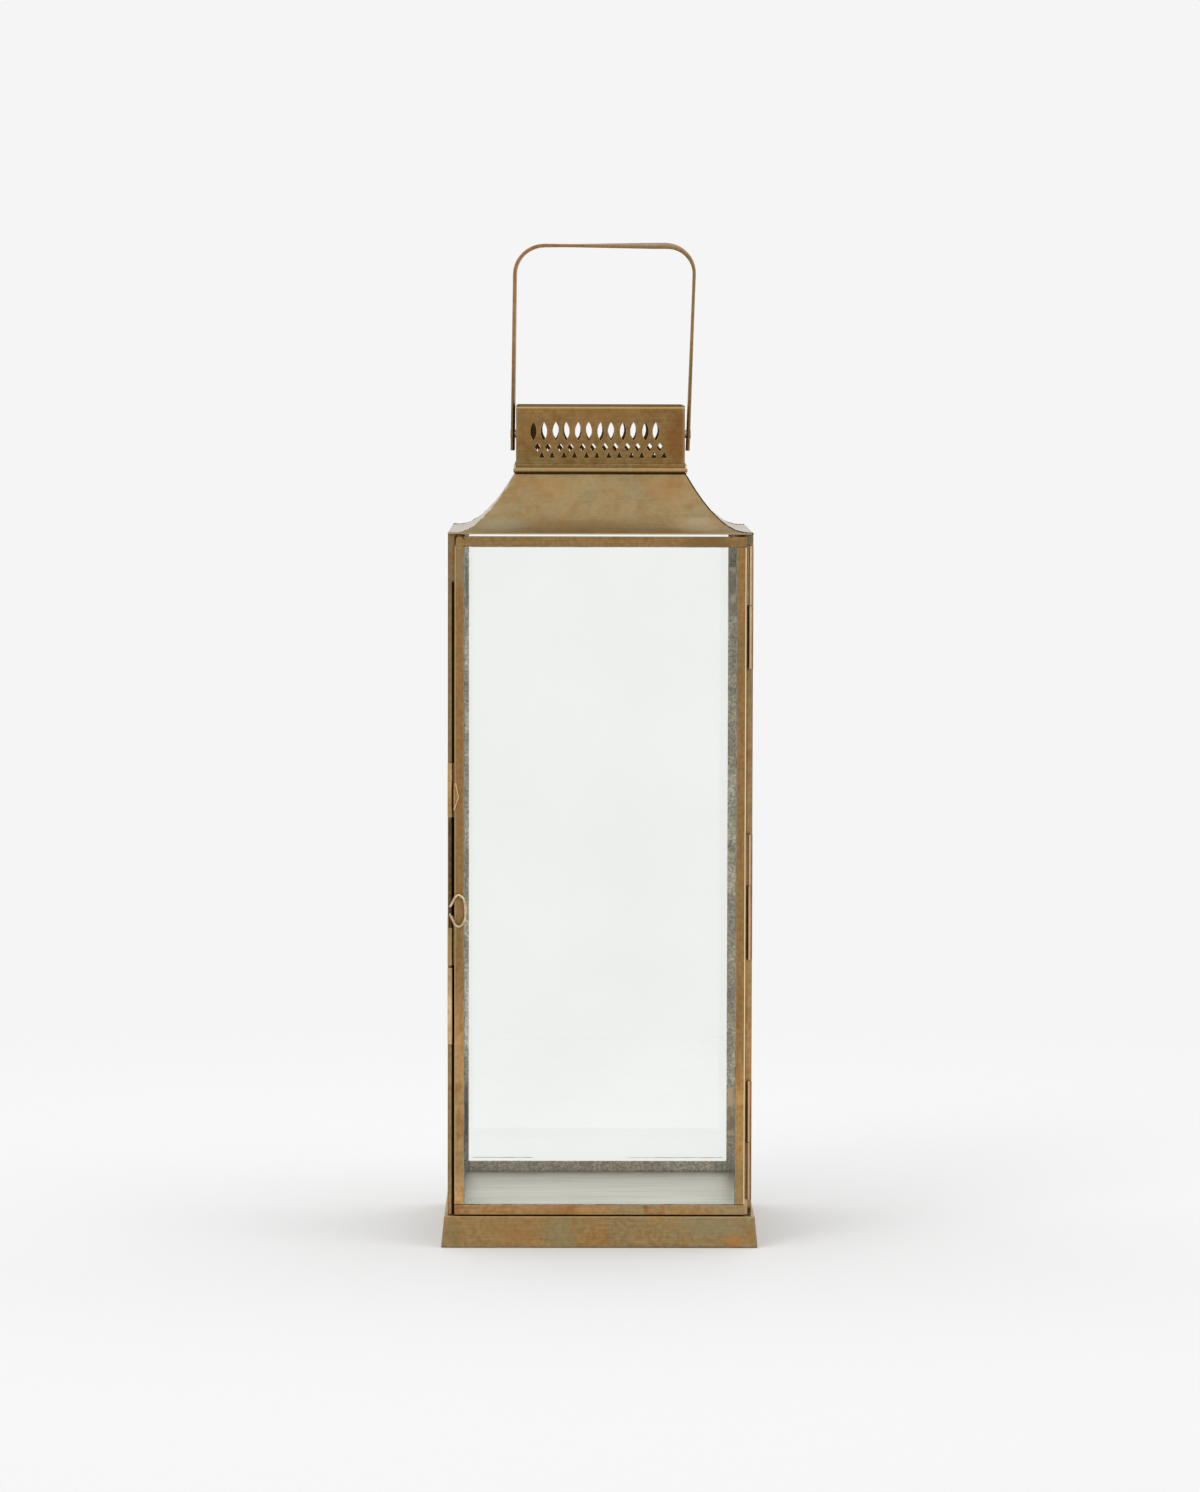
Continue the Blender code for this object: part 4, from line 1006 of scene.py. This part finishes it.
def build_solder():
    """All the beads along joints, in solder, putty and sealant."""
    solder = plain_metal("solder_seam", "8a7450", "6a5634", SOLDER_GRAIN)
    # pale solder, partly a painted highlight; the dark matte bead is painted shade on the front right hip
    pale = plain_metal("solder_with_highlight", "ddd6c2", "b9ae92", SOLDER_GRAIN)
    dull = plain_metal("shaded_solder", "2e2110", "1c1409", SOLDER_GRAIN, rough=(0.85, 0.95), metallic=0.0)
    putty = plain_metal("grey_putty", "9aa0a0", "6f7474", SOLDER_GRAIN, rough=(0.5, 0.7))
    sealant = plain_metal("clear_sealant", "dcdcd4", "c6c6bc", SOLDER_GRAIN, rough=(0.5, 0.7))
    build_hip_beads(solder, pale, dull)
    build_moulding_beads(pale)
    build_skirt_beads(solder)
    build_glazing_bead(putty)
    build_sealant(sealant)
    build_rail_beads(solder)


def build_trim():
    """Leaf of the upper bolt guide and tab at the corner of the door."""
    leaf = aged_brass("leaf_brass", "a37a4c", "a37a4c", worn="ecd0a6", patches=0.3)
    # the leaf's rim is a painted highlight
    build_leaf(leaf, plain_metal("rim_highlight", "f0d6b4", "d8b48c", SOLDER_GRAIN))
    tab = aged_brass("tab_brass", "93784c", "93784c", worn="d3ba8c", patches=0.3)
    # the dark line over the tab is painted shade
    build_corner_tab(tab, plain_metal("tab_outline_shade", "5a4426", "3b2b16", SOLDER_GRAIN))


def build_floor():
    """Pale floor that fades into the background, a little darker near the lamps so that it looks even."""
    shape = bmesh.new()
    bmesh.ops.create_circle(shape, cap_ends=True, segments=FLOOR_SIDES, radius=FLOOR_RADIUS)
    mesh = bpy.data.meshes.new("studio_floor")
    shape.to_mesh(mesh)
    shape.free()
    floor = bpy.data.objects.new("studio_floor", mesh)
    floor.location.z = -FLOOR_DROP
    bpy.context.scene.collection.objects.link(floor)
    graph = Graph("studio_floor")
    front, back = [grey(tone) for tone in FLOOR_TONES]
    paint = graph.blend(graph.span(graph.axis("Y"), *FLOOR_TURN), front, back)
    graph.finish(paint, FLOOR_ROUGHNESS, metallic=0.0)
    reach = graph.vector("LENGTH", graph.position).outputs["Value"]
    mixed = graph.add("MixShader", {"Fac": graph.span(reach, *FLOOR_FADE)})
    graph.put(mixed.inputs[1], graph.shader.outputs[0])
    graph.put(mixed.inputs[2], graph.add("BsdfTransparent").outputs[0])
    graph.put(graph.tree.nodes["Material Output"].inputs["Surface"], mixed.outputs[0])
    mesh.materials.append(graph.material)


def build_background():
    """World with soft light, which looks pale grey to the camera, in metal and through glass."""
    world = bpy.data.worlds.new("studio")
    bpy.context.scene.world = world
    world.use_nodes = True
    tree = world.node_tree
    light = tree.nodes["Background"]
    light.inputs["Color"].default_value = grey(1)
    light.inputs["Strength"].default_value = SKY_LIGHT
    shown = tree.nodes.new("ShaderNodeBackground")
    shown.inputs["Color"].default_value = grey(BACKGROUND)
    shown.inputs["Strength"].default_value = 1.0
    path = tree.nodes.new("ShaderNodeLightPath")
    seen = path.outputs["Is Camera Ray"]
    for ray in ("Is Glossy Ray", "Is Transmission Ray"):
        either = tree.nodes.new("ShaderNodeMath")
        either.operation = "MAXIMUM"
        tree.links.new(seen, either.inputs[0])
        tree.links.new(path.outputs[ray], either.inputs[1])
        seen = either.outputs[0]
    choose = tree.nodes.new("ShaderNodeMixShader")
    tree.links.new(seen, choose.inputs["Fac"])
    tree.links.new(light.outputs[0], choose.inputs[1])
    tree.links.new(shown.outputs[0], choose.inputs[2])
    tree.links.new(choose.outputs[0], tree.nodes["World Output"].inputs["Surface"])


def build_lamps():
    """Large soft lamps that face the middle of the lantern."""
    for name, place, size, power in SOFTBOXES:
        lamp = bpy.data.lights.new(name, "AREA")
        lamp.size = size
        lamp.energy = power
        holder = bpy.data.objects.new(name, lamp)
        holder.location = place
        holder.rotation_euler = (LIGHT_AIM - Vector(place)).to_track_quat("-Z", "Y").to_euler()
        bpy.context.scene.collection.objects.link(holder)


def build_camera():
    """Long lens at the height of the handle, looking slightly down, as in the photograph."""
    data = bpy.data.cameras.new("photo_camera")
    data.lens = LENS
    data.sensor_width = SENSOR
    camera = bpy.data.objects.new("photo_camera", data)
    turn = (Matrix.Rotation(CAMERA_YAW, 4, "Z") @ Matrix.Rotation(math.pi / 2 - CAMERA_PITCH, 4, "X")
            @ Matrix.Rotation(CAMERA_ROLL, 4, "Z"))
    camera.matrix_world = Matrix.Translation(CAMERA_PLACE) @ turn
    bpy.context.scene.collection.objects.link(camera)
    bpy.context.scene.camera = camera


def build_scene():
    """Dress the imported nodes, add the fine pieces and set up the studio."""
    dress_base()
    dress_posts()
    dress_inside()
    dress_door()
    dress_roof()
    dress_collar()
    dress_hinges()
    dress_latch()
    dress_rivets()
    dress_glass()
    build_solder()
    build_handle()
    build_trim()
    build_floor()
    build_background()
    build_lamps()
    build_camera()
    bpy.context.scene.view_settings.view_transform = "Standard"


build_scene()
